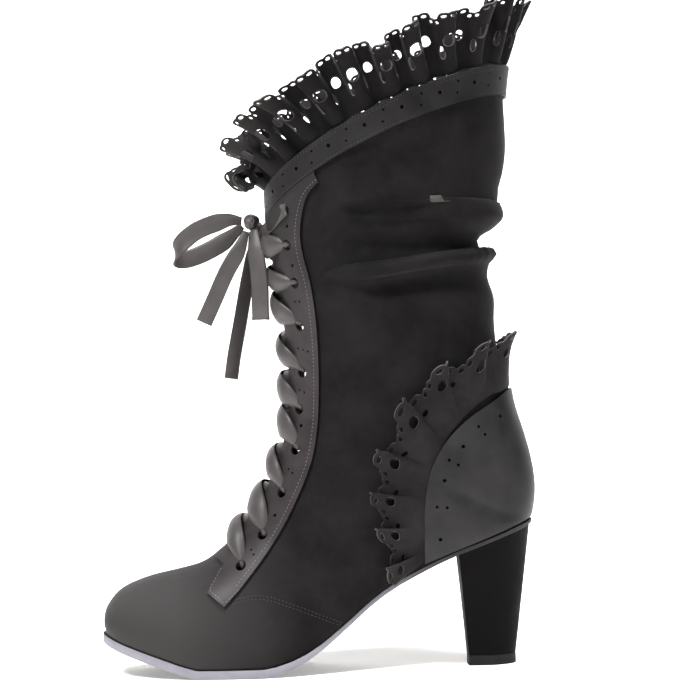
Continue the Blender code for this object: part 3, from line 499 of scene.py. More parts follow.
_outlines = {}


def outline(t, side):
    """The section at t on one side, as fine points from ridge to end, and their distance along the skin."""
    key = (round(t, 3), side)
    if key in _outlines:
        return _outlines[key]
    row = section_at(key[0])
    widest, end = (row.outer + row.shift, row.outer_end + row.shift)
    if side == INNER:
        widest, end = (row.inner - row.shift, row.inner_end - row.shift)
    angle = np.linspace(0.0, math.pi, OUTLINE_STEPS)
    fore = angle <= math.pi / 2
    cosine = np.abs(np.cos(angle))
    sine = np.abs(np.sin(angle))
    along_fore = row.widest * (1 - cosine ** (2 / row.front))
    along_rear = row.widest + (1 - row.widest) * cosine ** (2 / row.rear)
    along = np.where(fore, along_fore, along_rear)
    reach_fore = widest * sine ** (2 / row.front)
    reach_rear = end + (widest - end) * sine ** (2 / row.rear)
    reach = np.where(fore, reach_fore, reach_rear)
    reach = reach * (1 + row.fold * smooth((along - 0.1) / 0.35) / max(widest, 1.0))
    chord = np.array([row.end_x - row.ridge_x, row.end_z - row.ridge_z])
    length = max(float(np.hypot(*chord)), 0.001)
    bow = SAG * row.sag * np.sin(math.pi * along**0.8) ** 0.7
    x = row.ridge_x + chord[0] * along - chord[1] / length * bow
    z = row.ridge_z + chord[1] * along + chord[0] / length * bow
    points = np.stack([x, row.shift + side * reach, z], axis=1)
    steps = np.linalg.norm(np.diff(points, axis=0), axis=1)
    _outlines[key] = (points, np.concatenate([[0.0], np.cumsum(steps)]))
    return _outlines[key]


def girth(t, side):
    """Distance along the skin from the ridge to the end of section t."""
    return float(outline(t, side)[1][-1])


def bare_skin(t, s, side):
    """Point on the skin: section t, s millimetres from the ridge. A negative s lies on the other side."""
    if s < 0:
        return bare_skin(t, -s, -side)
    points, distance = outline(t, side)
    if s > distance[-1] and t >= HEEL_ROW:
        return bare_skin(t, 2 * distance[-1] - s, -side)
    return np.array([np.interp(s, distance, points[:, axis]) for axis in range(3)])


def skin_normal(t, s, side):
    low, high = max(t - SLOPE_ROWS, 2 * SLOPE_ROWS), min(t + SLOPE_ROWS, TOP_ROW)
    share = s / girth(t, side)
    up = bare_skin(high, share * girth(high, side), side) - bare_skin(low, share * girth(low, side), side)
    back = bare_skin(t, s + SLOPE_REACH, side) - bare_skin(t, s - SLOPE_REACH, side)
    return Vector(np.cross(back, up)).normalized() * (-side)


def skin(t, s, side, out=0.0):
    """Point on the skin, moved out along its normal."""
    spot = Vector(bare_skin(t, s, side))
    return spot if out == 0.0 else spot + skin_normal(t, s, side) * out


def throat(t):
    """Half width of the lacing opening at section t."""
    return max(section_at(t).throat, 0.0)


def side_place(x, z, side):
    """Section and skin distance of the point that shows at x, z from the side."""
    low, high = LOWEST_PLACE, float(TOP_ROW)
    for _ in range(HALVINGS):
        t = (low + high) / 2
        points, distance = outline(t, side)
        if np.interp(x, points[:, 0], points[:, 2]) < z:
            low = t
        else:
            high = t
    points, distance = outline(low, side)
    return low, float(np.interp(x, points[:, 0], distance))


# Upper
# Vamp, quarters and shaft are black nubuck with a lining, joined with hidden seams. The shaft is slack,
# and its folds run round it above the ankle. A double row of stitches shows where the vamp ends.

UPPER_ROW_STEP = 0.2
TOE_ROW_STEP = 0.125
TOE_END_ROW = 2.0
UPPER_COLUMNS = 80
NUBUCK_BLACK = (0.0036, 0.0032, 0.0033)
NUBUCK_WORN = (0.0135, 0.0125, 0.0127)
# Painted highlight: the paler colour of the toe's top, where the light falls, and the X range over which it
# fades in.
TOE_PAINTED_HIGHLIGHT = (0.036, 0.0345, 0.034)
TOE_HIGHLIGHT_STARTS = -12.0
TOE_HIGHLIGHT_FULL = -80.0
LINING_GREY = (0.05, 0.046, 0.043)
LINING_SHADE = (0.025, 0.023, 0.022)
Crease = namedtuple("Crease", "route height above below")
CREASES = (
    Crease(((4.0, 264.5), (21.0, 260.0), (40.0, 255.5), (62.0, 252.5), (92.0, 250.0)), 4.8, 10.0, 3.0),
    Crease(((-10.0, 252.5), (8.0, 250.0), (28.0, 246.5), (48.0, 243.5), (66.0, 241.0)), -5.2, 4.0, 6.5),
    Crease(((-6.0, 233.0), (12.0, 231.0), (34.0, 230.5), (54.0, 232.0), (88.0, 232.5)), -4.6, 6.0, 3.8),
    Crease(((-14.0, 216.0), (-6.0, 217.0), (22.0, 218.0), (50.0, 222.0), (86.0, 227.0)), 4.8, 4.5, 2.8),
    Crease(((-2.0, 208.0), (16.0, 210.5), (36.0, 214.0), (56.0, 216.0), (70.0, 216.0)), -4.2, 3.8, 8.0),
    Crease(((-17.0, 204.0), (-8.0, 206.5), (4.0, 207.5)), 1.3, 3.0, 2.2),
    Crease(((-2.0, 281.0), (20.0, 281.0), (44.0, 279.0), (70.0, 277.0)), -2.2, 8.0, 9.0),
    Crease(((30.0, 300.0), (50.0, 301.0), (74.0, 300.0)), 1.6, 9.0, 8.0),
    Crease(((-10.0, 190.0), (10.0, 186.0), (34.0, 184.0), (60.0, 186.0)), 0.9, 9.0, 12.0),
    Crease(((0.0, 160.0), (20.0, 166.0), (44.0, 172.0), (66.0, 178.0)), -0.8, 10.0, 12.0),
    Crease(((-52.0, 66.0), (-38.0, 74.0), (-24.0, 86.0), (-10.0, 96.0)), -0.7, 7.0, 8.0),
    Crease(((-60.0, 46.0), (-44.0, 50.0), (-28.0, 58.0), (-12.0, 70.0)), 0.6, 6.0, 8.0),
)
CREASE_STEPS = 40
CREASE_TAPER = 0.3
CREASE_END_FADE = 5.0
BACK_CREASE_X = 80.0


def nubuck_finish(name, black, worn, nap=1.0):
    """Brushed nubuck: a short nap, cloudy where fingers have turned it, and paler towards the toe as a
    painted highlight for the light on the toe's top.
    """
    made = Finish(name, Sheen_Weight=0.05, Sheen_Roughness=0.35, Specular_IOR_Level=0.05)
    where = made.place_on()
    cloud = made.spread(made.noise(where, 26.0, 3.0), 0.35, 0.7)
    brush = made.spread(made.noise(where, 5.0, 4.0, 0.65), 0.35, 0.7)
    fibre = made.noise(where, 0.55, 3.0, 0.7)
    tint = made.blend(cloud * 0.45 + brush * 0.25 + fibre * 0.15, black, worn)
    lengthwise = made.node("ShaderNodeSeparateXYZ", None, where, output=0)
    # Painted highlight: from X -12 to -80 the colour turns paler towards the toe, for the light on its top.
    forward = made.spread(lengthwise, TOE_HIGHLIGHT_STARTS, TOE_HIGHLIGHT_FULL)
    made.feed("Base Color", made.blend(forward * 0.85, tint, TOE_PAINTED_HIGHLIGHT))
    made.feed("Roughness", brush * 0.12 + 0.72)
    made.bump(fibre * 0.6 + brush * 0.8, 0.25 * nap, 0.25)
    return made.material


def lining_finish():
    cloth = Finish("lining_cloth", Specular_IOR_Level=0.3)
    where = cloth.place_on()
    weave = cloth.noise(where, 0.8, 2.0)
    cloud = cloth.noise(where, 18.0, 2.0)
    cloth.feed("Base Color", cloth.blend(cloud, LINING_GREY, LINING_SHADE))
    cloth.feed("Roughness", weave * 0.1 + 0.8)
    cloth.bump(weave, 0.3, 0.2)
    return cloth.material


NUBUCK = nubuck_finish("black_nubuck", NUBUCK_BLACK, NUBUCK_WORN)
LINING = lining_finish()


def crease_lift(points):
    """Height of the creases at side-view points, in millimetres out of the skin."""
    lift = np.zeros(len(points))
    flat = points[:, (0, 2)]
    for crease in CREASES:
        route = [(x, 0.0, z) for x, z in crease.route]
        line = np.array([smooth_curve(route, k / CREASE_STEPS) for k in range(CREASE_STEPS + 1)])[:, (0, 2)]
        ahead = np.gradient(line, axis=0)
        ahead /= np.linalg.norm(ahead, axis=1)[:, None]
        offset = flat[:, None, :] - line[None, :, :]
        nearest = np.argmin((offset**2).sum(2), axis=1)
        gap = offset[np.arange(len(flat)), nearest]
        above = gap[:, 1] * ahead[nearest, 0] - gap[:, 0] * ahead[nearest, 1]
        past = np.abs((gap * ahead[nearest]).sum(1))
        width = np.where(above > 0, crease.above, crease.below)
        share = nearest / CREASE_STEPS
        taper = smooth(share / CREASE_TAPER)
        if crease.route[-1][0] <= BACK_CREASE_X:
            taper = taper * smooth((1 - share) / CREASE_TAPER)
        fade = np.exp(-((above / width) ** 2)) * np.exp(-((past / CREASE_END_FADE) ** 2))
        lift += crease.height * taper * fade
    return lift


def skin_grid(rows, shares, side, out=0.0, fronts=None, reach=None):
    """Points of the creased skin on a grid, moved out along their normals, as rows of (count, 3)."""
    grid = np.zeros((len(rows), len(shares), 3))
    for i, t in enumerate(rows):
        points, distance = outline(t, side)
        start = throat(t) if fronts is None else fronts(t)
        stop = distance[-1] if reach is None else reach
        s = start + (stop - start) * np.asarray(shares)
        for axis in range(3):
            grid[i, :, axis] = np.interp(s, distance, points[:, axis])
    back = np.gradient(grid, axis=1)
    up = np.gradient(grid, axis=0)
    normal = np.cross(back, up) * (-side)
    if reach is None:
        seam = np.asarray(rows) >= HEEL_ROW
        normal[seam, -1, 1] = 0.0
    normal /= np.maximum(np.linalg.norm(normal, axis=2), 1e-9)[:, :, None]
    lift = crease_lift(grid.reshape(-1, 3)).reshape(grid.shape[:2])
    return grid + normal * (out + lift)[:, :, None]


def grid_mesh(name, grids, drop=None, smoothing=0):
    """One welded mesh from grids of points given as (grid, flip). Faces that drop names are left out."""
    shape = bmesh.new()
    for grid, flip in grids:
        rows, columns = grid.shape[:2]
        corners = [[shape.verts.new(place(grid[i, j])) for j in range(columns)] for i in range(rows)]
        for i in range(rows - 1):
            for j in range(columns - 1):
                face = [corners[i][j], corners[i][j + 1], corners[i + 1][j + 1], corners[i + 1][j]]
                if drop is None or not drop(sum((c.co for c in face), Vector()) / 4):
                    shape.faces.new(face[::-1] if flip else face)
    bmesh.ops.remove_doubles(shape, verts=shape.verts, dist=0.03 * MM)
    bmesh.ops.delete(shape, geom=[v for v in shape.verts if not v.link_faces], context="VERTS")
    inner = [v for v in shape.verts if not v.is_boundary]
    for _ in range(smoothing):
        bmesh.ops.smooth_vert(
            shape, verts=inner, factor=0.5, use_axis_x=True, use_axis_y=True, use_axis_z=True
        )
    return mesh_of(name, shape)


def thicken(piece, thickness, offset, inner_slot=0, rim_slot=0):
    modifier = piece.modifiers.new("thickness", "SOLIDIFY")
    modifier.thickness = thickness * MM
    modifier.offset = offset
    modifier.use_even_offset = False
    modifier.use_rim = True
    modifier.material_offset = inner_slot
    modifier.material_offset_rim = rim_slot
    return modifier


EYELET_PUNCH = 3.1
EYELET_MARGIN = 0.8
EYELET_PLACES = (
    (-62.5, 59.6),
    (-50.2, 76.0),
    (-38.8, 98.7),
    (-30.6, 121.9),
    (-27.8, 144.3),
    (-25.6, 164.5),
    (-26.0, 190.2),
    (-27.8, 213.2),
    (-31.4, 234.0),
    (-31.8, 253.0),
)
EYESTAY_TAB_FRONT = 12.0
EYESTAY_TAB_ROW = 8


def eyestay_front(t):
    """Distance of the eyestay's front edge from the ridge. Below the throat it starts at the tab."""
    return max(throat(t), EYESTAY_TAB_FRONT if t < EYESTAY_TAB_ROW else 0.0)


eyelets = {side: [side_place(x, z, side) for x, z in EYELET_PLACES] for side in SIDES}
eyelet_centres = [place(skin(t, s, side)) for side in SIDES for t, s in eyelets[side]]


def in_eyelet(point):
    return any((point - centre).length < (EYELET_PUNCH + EYELET_MARGIN) * MM for centre in eyelet_centres)


upper_rows = np.concatenate(
    [np.arange(0.0, TOE_END_ROW, TOE_ROW_STEP), np.arange(TOE_END_ROW, TOP_ROW + 0.01, UPPER_ROW_STEP)]
)
upper_shares = np.linspace(0, 1, UPPER_COLUMNS)
upper_grids = [(skin_grid(upper_rows, upper_shares, side), side == INNER) for side in SIDES]
upper = add_piece("upper_shell", grid_mesh("upper_shell", upper_grids, in_eyelet), NUBUCK, LINING)
thicken(upper, WALL, -1, inner_slot=1)
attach(upper, "root")
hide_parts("upper")


# Tongue
# A soft strip of the same nubuck behind the lacing, sewn in under the vamp and free up to the collar.

TONGUE_OVERLAP = 7.0
TONGUE_THICKNESS = 1.4
TONGUE_DEPTH = WALL + 1.2
TONGUE_COLUMNS = 17
TONGUE_ROWS = np.arange(6.0, BAND_ROW + 0.91, 0.3)
TONGUE_HALF = 9.0


def tongue_grid():
    grid = np.zeros((len(TONGUE_ROWS), TONGUE_COLUMNS, 3))
    for i, t in enumerate(TONGUE_ROWS):
        half = max(throat(t), TONGUE_HALF) + TONGUE_OVERLAP
        for j, share in enumerate(np.linspace(1, -1, TONGUE_COLUMNS)):
            grid[i, j] = skin(t, half * share, OUTER, -TONGUE_DEPTH)
    return grid


tongue = add_piece("tongue_strip", grid_mesh("tongue_strip", [(tongue_grid(), True)]), NUBUCK)
thicken(tongue, TONGUE_THICKNESS, -1)
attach(tongue, "root")
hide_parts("tongue")


# Leather plates
# Eyestays, collar band and heel counter are smooth leather laid on the upper and sewn along their edges.
# They are cut to a side-view outline, and their eyelets and pinholes are punched right through.

SEWN_OUT = 0.5
PLATE_THICKNESS = 1.3
EYESTAY_REACH = 62.0
EYESTAY_ROWS = np.linspace(5.5, BAND_ROW - 0.02, 153)
EYESTAY_COLUMNS = 34
EYESTAY_TRIM = 0.2
EYESTAY_TAB = (
    (-63.5, 48.4),
    (-72.2, 39.1),
    (-81.7, 46.8),
    (-72.9, 61.3),
    (-120.0, 92.0),
    (-120.0, 300.0),
    (5.0, 300.0),
)
EYESTAY_BACK = (
    (-3.9, 274.4),
    (-14.0, 266.5),
    (-20.4, 259.8),
    (-23.8, 249.4),
    (-25.1, 238.0),
    (-23.8, 227.0),
    (-20.6, 213.5),
    (-18.4, 195.9),
    (-17.5, 175.7),
    (-17.8, 154.0),
    (-19.3, 133.8),
    (-23.8, 113.2),
    (-35.5, 87.8),
    (-48.2, 67.6),
    (-63.5, 48.4),
)
COUNTER_EDGE = (
    (37.1, 58.1),
    (37.2, 72.0),
    (38.0, 90.0),
    (40.9, 106.2),
    (46.1, 117.7),
    (53.2, 127.5),
    (64.0, 137.2),
    (75.0, 144.0),
    (85.4, 151.0),
)
COUNTER_ROWS = np.arange(12.0, 23.01, 0.2)
SIDE_REACH = 90.0
PUNCH_SIDES = 20
PINHOLE = 0.65
BIG_PINHOLE = 1.05
COUNTER_PINHOLE = PINHOLE * 1.3
PINHOLES_BY_GAP = (2, 1, 2, 1, 2, 3, 2, 1, 1)
PINHOLE_SPACING = 3.4
PINHOLE_SHIFT = 1.0
PUNCH_DEPTH = 7.0
BAND_HOLE_ROW = BAND_ROW + 0.5
BAND_HOLE_STEP = 11.0
BAND_HOLE_START = 8
BAND_HOLE_ENDS = 10
BAND_PAIR = 0.17
COUNTER_HOLE_STOPS = 9
COUNTER_HOLE_OFFS = ((6.5, 12.0), (8.5,))
COUNTER_HOLE_TOP = HEEL_ROW + 8
COUNTER_OUT = 0.8
COUNTER_SMOOTHING = 12
BAND_COLUMNS = 96
COUNTER_SHARES = np.linspace(0.12, 1, 70)
LEATHER_DARK = (0.009, 0.0082, 0.0085)
LEATHER_BLACK = (0.0042, 0.0038, 0.004)
LEATHER_WORN = (0.014, 0.0128, 0.0132)
COUNTER_BLACK = (0.0055, 0.005, 0.0052)
COUNTER_WORN = (0.019, 0.0178, 0.0182)
# Eyestay colours: the band's leather with painted light, lighter because the light falls on the eyestays from
# the front.
EYESTAY_LIT_GREY = (0.014, 0.0115, 0.0122)
EYESTAY_LIT_PALE = (0.036, 0.0298, 0.0315)
DARKER_FROM = 205.0
DARKEST_AT = 262.0


def leather_finish(name, dark, worn, coat=0.12, rough=0.46, gloss=0.12):
    """Smooth leather: fine pores, soft wrinkles, paler where it has been rubbed, darker up at the collar."""
    made = Finish(name, Coat_Weight=coat, Coat_Roughness=0.35, Specular_IOR_Level=gloss)
    where = made.place_on()
    pores = made.noise(where, 0.7, 3.0, 0.6)
    wrinkle = made.noise(where, 3.0, 3.0, 0.6)
    cloud = made.spread(made.noise(where, 16.0, 3.0), 0.35, 0.72)
    tint = made.blend(cloud * 0.6 + wrinkle * 0.25, dark, worn)
    # Above DARKER_FROM the colour fades to LEATHER_DARK, the band's tone: on the eyestays this is painted
    # shade that takes their painted light away towards the collar.
    height = made.node("ShaderNodeSeparateXYZ", None, where, output=2)
    upward = made.spread(height, DARKER_FROM, DARKEST_AT)
    made.feed("Base Color", made.blend(upward * 0.85, tint, LEATHER_DARK))
    made.feed("Roughness", cloud * 0.14 + wrinkle * 0.1 + rough)
    made.bump(pores * 0.4 + wrinkle, 0.22, 0.25)
    return made.material


LEATHER = leather_finish("band_leather", LEATHER_BLACK, LEATHER_WORN)
COUNTER_LEATHER = leather_finish("counter_leather", COUNTER_BLACK, COUNTER_WORN, 0.14, 0.42)
# The eyestays get a lit copy of the leather: painted light.
LIT_EYESTAY_LEATHER = leather_finish("eyestay_leather", EYESTAY_LIT_GREY, EYESTAY_LIT_PALE, 0.1, 0.5)


def edge_curve(points, count):
    """Evenly read places on a smooth side-view curve."""
    route = [(x, 0.0, z) for x, z in points]
    return [(spot.x, spot.z) for spot in (smooth_curve(route, k / (count - 1)) for k in range(count))]


def side_prism(name, profile, y_from, y_to):
    """A cutter: a side-view outline drawn through the boot from y_from to y_to."""
    count = len(profile)
    shape = bmesh.new()
    near = [shape.verts.new(place((x, y_from, z))) for x, z in profile]
    far = [shape.verts.new(place((x, y_to, z))) for x, z in profile]
    shape.faces.new(near)
    shape.faces.new(far[::-1])
    for i in range(count):
        shape.faces.new((near[i], far[i], far[(i + 1) % count], near[(i + 1) % count]))
    bmesh.ops.recalc_face_normals(shape, faces=shape.faces)
    return add_piece(name, mesh_of(name, shape))


def punches(name, spots):
    """One cutter of round punches, a (point, normal, radius) each."""
    shape = bmesh.new()
    for point, normal, radius in spots:
        turn = normal.to_track_quat("Z", "Y").to_matrix().to_4x4()
        turn.translation = place(point)
        bmesh.ops.create_cone(
            shape,
            cap_ends=True,
            segments=PUNCH_SIDES if radius > 2 else PUNCH_SIDES // 2,
            radius1=radius * MM,
            radius2=radius * MM,
            depth=PUNCH_DEPTH * MM,
            matrix=turn,
        )
    return add_piece(name, mesh_of(name, shape))


def finished(piece, cuts=(), sharp=38.0):
    """The piece with its cuts and thickness made final, smooth between its sharp edges."""
    for cutter, operation in cuts:
        modifier = piece.modifiers.new(cutter.name, "BOOLEAN")
        modifier.operation = operation
        modifier.object = cutter
    graph = bpy.context.evaluated_depsgraph_get()
    mesh = bpy.data.meshes.new_from_object(piece.evaluated_get(graph))
    piece.modifiers.clear()
    piece.data = mesh
    mesh.shade_smooth()
    mesh.set_sharp_from_angle(angle=math.radians(sharp))
    for cutter, _ in cuts:
        bpy.data.objects.remove(cutter)
    return piece


def on_leather(x, z, side, out):
    """Point and normal on the skin at a side-view place, lifted with the creases."""
    t, s = side_place(x, z, side)
    lift = float(crease_lift(np.array([skin(t, s, side)]))[0])
    return skin(t, s, side, out + lift), skin_normal(t, s, side)


def hole(t, s, side, radius):
    """A punch's place on the skin, its direction and its radius."""
    return skin(t, s, side), skin_normal(t, s, side), radius


def eyestay_pinholes(side):
    """One to three small holes between each eyelet and the next."""
    spots = []
    for k, count in enumerate(PINHOLES_BY_GAP):
        t = (eyelets[side][k][0] + eyelets[side][k + 1][0]) / 2
        s = (eyelets[side][k][1] + eyelets[side][k + 1][1]) / 2 + PINHOLE_SHIFT
        for number in range(count):
            along = s + (number - (count - 1) / 2) * PINHOLE_SPACING
            spots.append(hole(t, along, side, PINHOLE if count > 1 else BIG_PINHOLE))
    return spots


def make_eyestay(side):
    grid = skin_grid(
        EYESTAY_ROWS,
        np.linspace(0, 1, EYESTAY_COLUMNS),
        side,
        SEWN_OUT,
        fronts=lambda t: eyestay_front(t) + EYESTAY_TRIM,
        reach=EYESTAY_REACH,
    )
    name = "eyestay_strip_" + SIDE_NAMES[side]
    strip = add_piece(name, grid_mesh(name, [(grid, side == INNER)]), LIT_EYESTAY_LEATHER)
    thicken(strip, PLATE_THICKNESS, 1)
    profile = [*EYESTAY_TAB, *edge_curve(EYESTAY_BACK, 60)[:-1]]
    holes = [hole(t, s, side, EYELET_PUNCH) for t, s in eyelets[side]]
    cuts = (
        (side_prism(name + "_outline", profile, 0.0, side * SIDE_REACH), "INTERSECT"),
        (punches(name + "_punches", holes + eyestay_pinholes(side)), "DIFFERENCE"),
    )
    return finished(strip, cuts)


def band_holes():
    """Along the band one larger hole alternates with two small ones, one above the other."""
    spots = []
    for side in SIDES:
        t = BAND_HOLE_ROW
        length = girth(t, side)
        count = int((length - throat(t) - BAND_HOLE_ENDS) / BAND_HOLE_STEP)
        for k in range(count):
            s = throat(t) + BAND_HOLE_START + k * BAND_HOLE_STEP
            rows = ((t, BIG_PINHOLE),) if k % 2 else ((t - BAND_PAIR, PINHOLE), (t + BAND_PAIR, PINHOLE))
            for row, radius in rows:
                spots.append(hole(row, s * girth(row, side) / length, side, radius))
    return spots


def counter_holes():
    """Behind the counter's seam a larger hole alternates with a pair, all the way up its edge."""
    edge = edge_curve(COUNTER_EDGE, COUNTER_HOLE_STOPS)
    spots = []
    for side in SIDES:
        for k in range(1, COUNTER_HOLE_STOPS - 1):
            (x0, z0), (x, z), (x1, z1) = edge[k - 1], edge[k], edge[k + 1]
            ahead = Vector((x1 - x0, z1 - z0)).normalized()
            inward = Vector((ahead.y, -ahead.x))
            for off in COUNTER_HOLE_OFFS[k % 2]:
                t, s = side_place(x + inward.x * off, z + inward.y * off, side)
                if t < COUNTER_HOLE_TOP:
                    spots.append(hole(t, s, side, BIG_PINHOLE if k % 2 else COUNTER_PINHOLE))
    return spots


def make_overlay(name, rows, shares, material, cuts, out=SEWN_OUT, smoothing=0):
    grids = [(skin_grid(rows, shares, side, out), side == INNER) for side in SIDES]
    plate = add_piece(name, grid_mesh(name, grids, smoothing=smoothing), material)
    thicken(plate, PLATE_THICKNESS, 1)
    return finished(plate, cuts)


for side in SIDES:
    strip = make_eyestay(side)
    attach(strip, "root")
    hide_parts("eyestay_" + SIDE_NAMES[side])
band = make_overlay(
    "collar_strip",
    np.linspace(BAND_ROW, TOP_ROW, 9),
    np.linspace(0, 1, BAND_COLUMNS),
    LEATHER,
    ((punches("band_punches", band_holes()), "DIFFERENCE"),),
)
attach(band, "root")
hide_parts("collar_band")
counter_profile = [*edge_curve(COUNTER_EDGE, 48), (140.0, 165.0), (140.0, 97.2)]
counter = make_overlay(
    "counter_plate",
    COUNTER_ROWS,
    COUNTER_SHARES,
    COUNTER_LEATHER,
    (
        (side_prism("counter_outline", counter_profile, -SIDE_REACH, SIDE_REACH), "INTERSECT"),
        (punches("counter_punches", counter_holes()), "DIFFERENCE"),
    ),
    out=COUNTER_OUT,
    smoothing=COUNTER_SMOOTHING,
)
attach(counter, "root")
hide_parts("heel_counter")


# Stitching
# Thread shows along the plates' edges and in a double row where the vamp ends.
# One small stitch is repeated along each seam line, standing on the leather.

STITCH_LONG = 1.35
STITCH_WIDE = 0.42
STITCH_FLAT = 0.7
STITCH_SPACING = 2.1
PLATE_TOP = SEWN_OUT + PLATE_THICKNESS
EYESTAY_SEAM_INSET = 1.7
COUNTER_SEAM_INSETS = (1.8, 5.0)
VAMP_SEAM_INSETS = (-0.9, 0.9)
VAMP_SEAM_OUT = 0.1
BAND_SEAM_ROWS = (TOP_ROW - 0.09, TOP_ROW - 0.2, BAND_ROW + 0.09)
BAND_SEAM_STOPS = 60
TAB_SEAM = (
    (-64.5, 46.8),
    (-68.4, 43.2),
    (-71.9, 40.6),
    (-75.6, 43.6),
    (-79.6, 47.0),
    (-76.4, 52.6),
    (-73.6, 57.4),
)
VAMP_SEAM = ((-71.7, 40.6), (-56.0, 43.6), (-45.2, 41.9), (-29.2, 35.8), (-15.4, 29.9), (-10.0, 27.6))
THREAD_DARK = (0.03, 0.028, 0.028)
THREAD_PALE = (0.13, 0.118, 0.118)


def thread_finish(name, colour):
    thread = Finish(name, Roughness=0.6, Specular_IOR_Level=0.3)
    twist = thread.noise(thread.place_on(), 0.4)
    thread.feed("Base Color", thread.blend(twist * 0.5, colour, tuple(c * 0.5 for c in colour)))
    return thread.material


def repeat_tree():
    """Geometry Nodes: an item at even spacing along edges, its Z on the stored outward direction."""
    tree = bpy.data.node_groups.new("repeat_along_seams", "GeometryNodeTree")
    face = tree.interface
    face.new_socket("Geometry", in_out="INPUT", socket_type="NodeSocketGeometry")
    face.new_socket("Spacing", in_out="INPUT", socket_type="NodeSocketFloat")
    face.new_socket("Item", in_out="INPUT", socket_type="NodeSocketObject")
    face.new_socket("Material", in_out="INPUT", socket_type="NodeSocketMaterial")
    face.new_socket("Geometry", in_out="OUTPUT", socket_type="NodeSocketGeometry")

    def node(kind, **settings):
        made = tree.nodes.new(kind)
        for key, value in settings.items():
            setattr(made, key, value)
        return made

    start = node("NodeGroupInput")
    curve = node("GeometryNodeMeshToCurve")
    points = node("GeometryNodeCurveToPoints", mode="LENGTH")
    out = node("GeometryNodeInputNamedAttribute", data_type="FLOAT_VECTOR")
    out.inputs["Name"].default_value = "out"
    turn = node("FunctionNodeAxesToRotation", primary_axis="Z", secondary_axis="X")
    item = node("GeometryNodeObjectInfo")
    copies = node("GeometryNodeInstanceOnPoints")
    real = node("GeometryNodeRealizeInstances")
    dress = node("GeometryNodeSetMaterial")
    end = node("NodeGroupOutput")
    for source, socket, target, entry in (
        (start, "Geometry", curve, "Mesh"),
        (curve, "Curve", points, "Curve"),
        (start, "Spacing", points, "Length"),
        (points, "Points", copies, "Points"),
        (out, "Attribute", turn, "Primary Axis"),
        (points, "Tangent", turn, "Secondary Axis"),
        (turn, "Rotation", copies, "Rotation"),
        (start, "Item", item, "Object"),
        (item, "Geometry", copies, "Instance"),
        (copies, "Instances", real, "Geometry"),
        (real, "Geometry", dress, "Geometry"),
        (start, "Material", dress, "Material"),
        (dress, "Geometry", end, "Geometry"),
    ):
        tree.links.new(source.outputs[socket], target.inputs[entry])
    return tree


REPEAT = repeat_tree()


def stitch_item():
    shape = bmesh.new()
    bmesh.ops.create_icosphere(shape, subdivisions=1, radius=0.5)
    size = Vector((STITCH_LONG, STITCH_WIDE, STITCH_WIDE * STITCH_FLAT)) * MM
    bmesh.ops.scale(shape, vec=size, verts=shape.verts)
    return add_piece("one_stitch", mesh_of("one_stitch", shape))


def sew(name, seams, material):
    """Stitches along seams, each a list of (point, outward direction)."""
    points = []
    outs = []
    edges = []
    for seam in seams:
        first = len(points)
        points += [place(point) for point, _ in seam]
        outs += [c for _, out in seam for c in out]
        edges += [(first + i, first + i + 1) for i in range(len(seam) - 1)]
    lines = bpy.data.meshes.new(name)
    lines.from_pydata(points, edges, [])
    lines.attributes.new("out", "FLOAT_VECTOR", "POINT").data.foreach_set("vector", outs)
    sewn = add_piece(name, lines)
    modifier = sewn.modifiers.new("repeat", "NODES")
    modifier.node_group = REPEAT
    item = stitch_item()
    sockets = {s.name: s.identifier for s in REPEAT.interface.items_tree if s.in_out == "INPUT"}
    modifier[sockets["Spacing"]] = STITCH_SPACING * MM
    modifier[sockets["Item"]] = item
    modifier[sockets["Material"]] = material
    finished(sewn)
    bpy.data.objects.remove(item)
    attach(sewn, "root")


def side_seam(points, count, inset, side, out):
    """Seam beside a side-view curve, inset to the right of the curve's own direction."""
    route = edge_curve(points, count)
    seam = []
    for i, (x, z) in enumerate(route):
        (x0, z0), (x1, z1) = route[max(i - 1, 0)], route[min(i + 1, count - 1)]
        ahead = Vector((x1 - x0, z1 - z0)).normalized()
        seam.append(on_leather(x + ahead.y * inset, z - ahead.x * inset, side, out))
    return seam


def band_seam(row, side):
    """Seam along the collar band at one height."""
    stops = np.linspace(throat(row) + 2, girth(row, side) - 0.5, BAND_SEAM_STOPS)
    return [(skin(row, s, side, PLATE_TOP), skin_normal(row, s, side)) for s in stops]


pale_seams = []
dark_seams = []
for side in SIDES:
    pale_seams.append(side_seam(EYESTAY_BACK[1:], 70, EYESTAY_SEAM_INSET, side, PLATE_TOP))
    pale_seams.append([on_leather(x, z, side, PLATE_TOP) for x, z in edge_curve(TAB_SEAM, 20)])
    dark_seams += [band_seam(row, side) for row in BAND_SEAM_ROWS]
    dark_seams += [side_seam(COUNTER_EDGE, 40, inset, side, PLATE_TOP) for inset in COUNTER_SEAM_INSETS]
    dark_seams += [side_seam(VAMP_SEAM, 24, inset, side, VAMP_SEAM_OUT) for inset in VAMP_SEAM_INSETS]
sew("pale_stitches", pale_seams, thread_finish("pale_thread", THREAD_PALE))
sew("dark_stitches", dark_seams, thread_finish("dark_thread", THREAD_DARK))


# Petals of the ruffles
# Each ruffle is one gathered strip of nubuck with a scalloped edge of small rings, and with ovals and drops
# cut out. One wave of it is charted flat, and copies of it are gathered, each a little different.

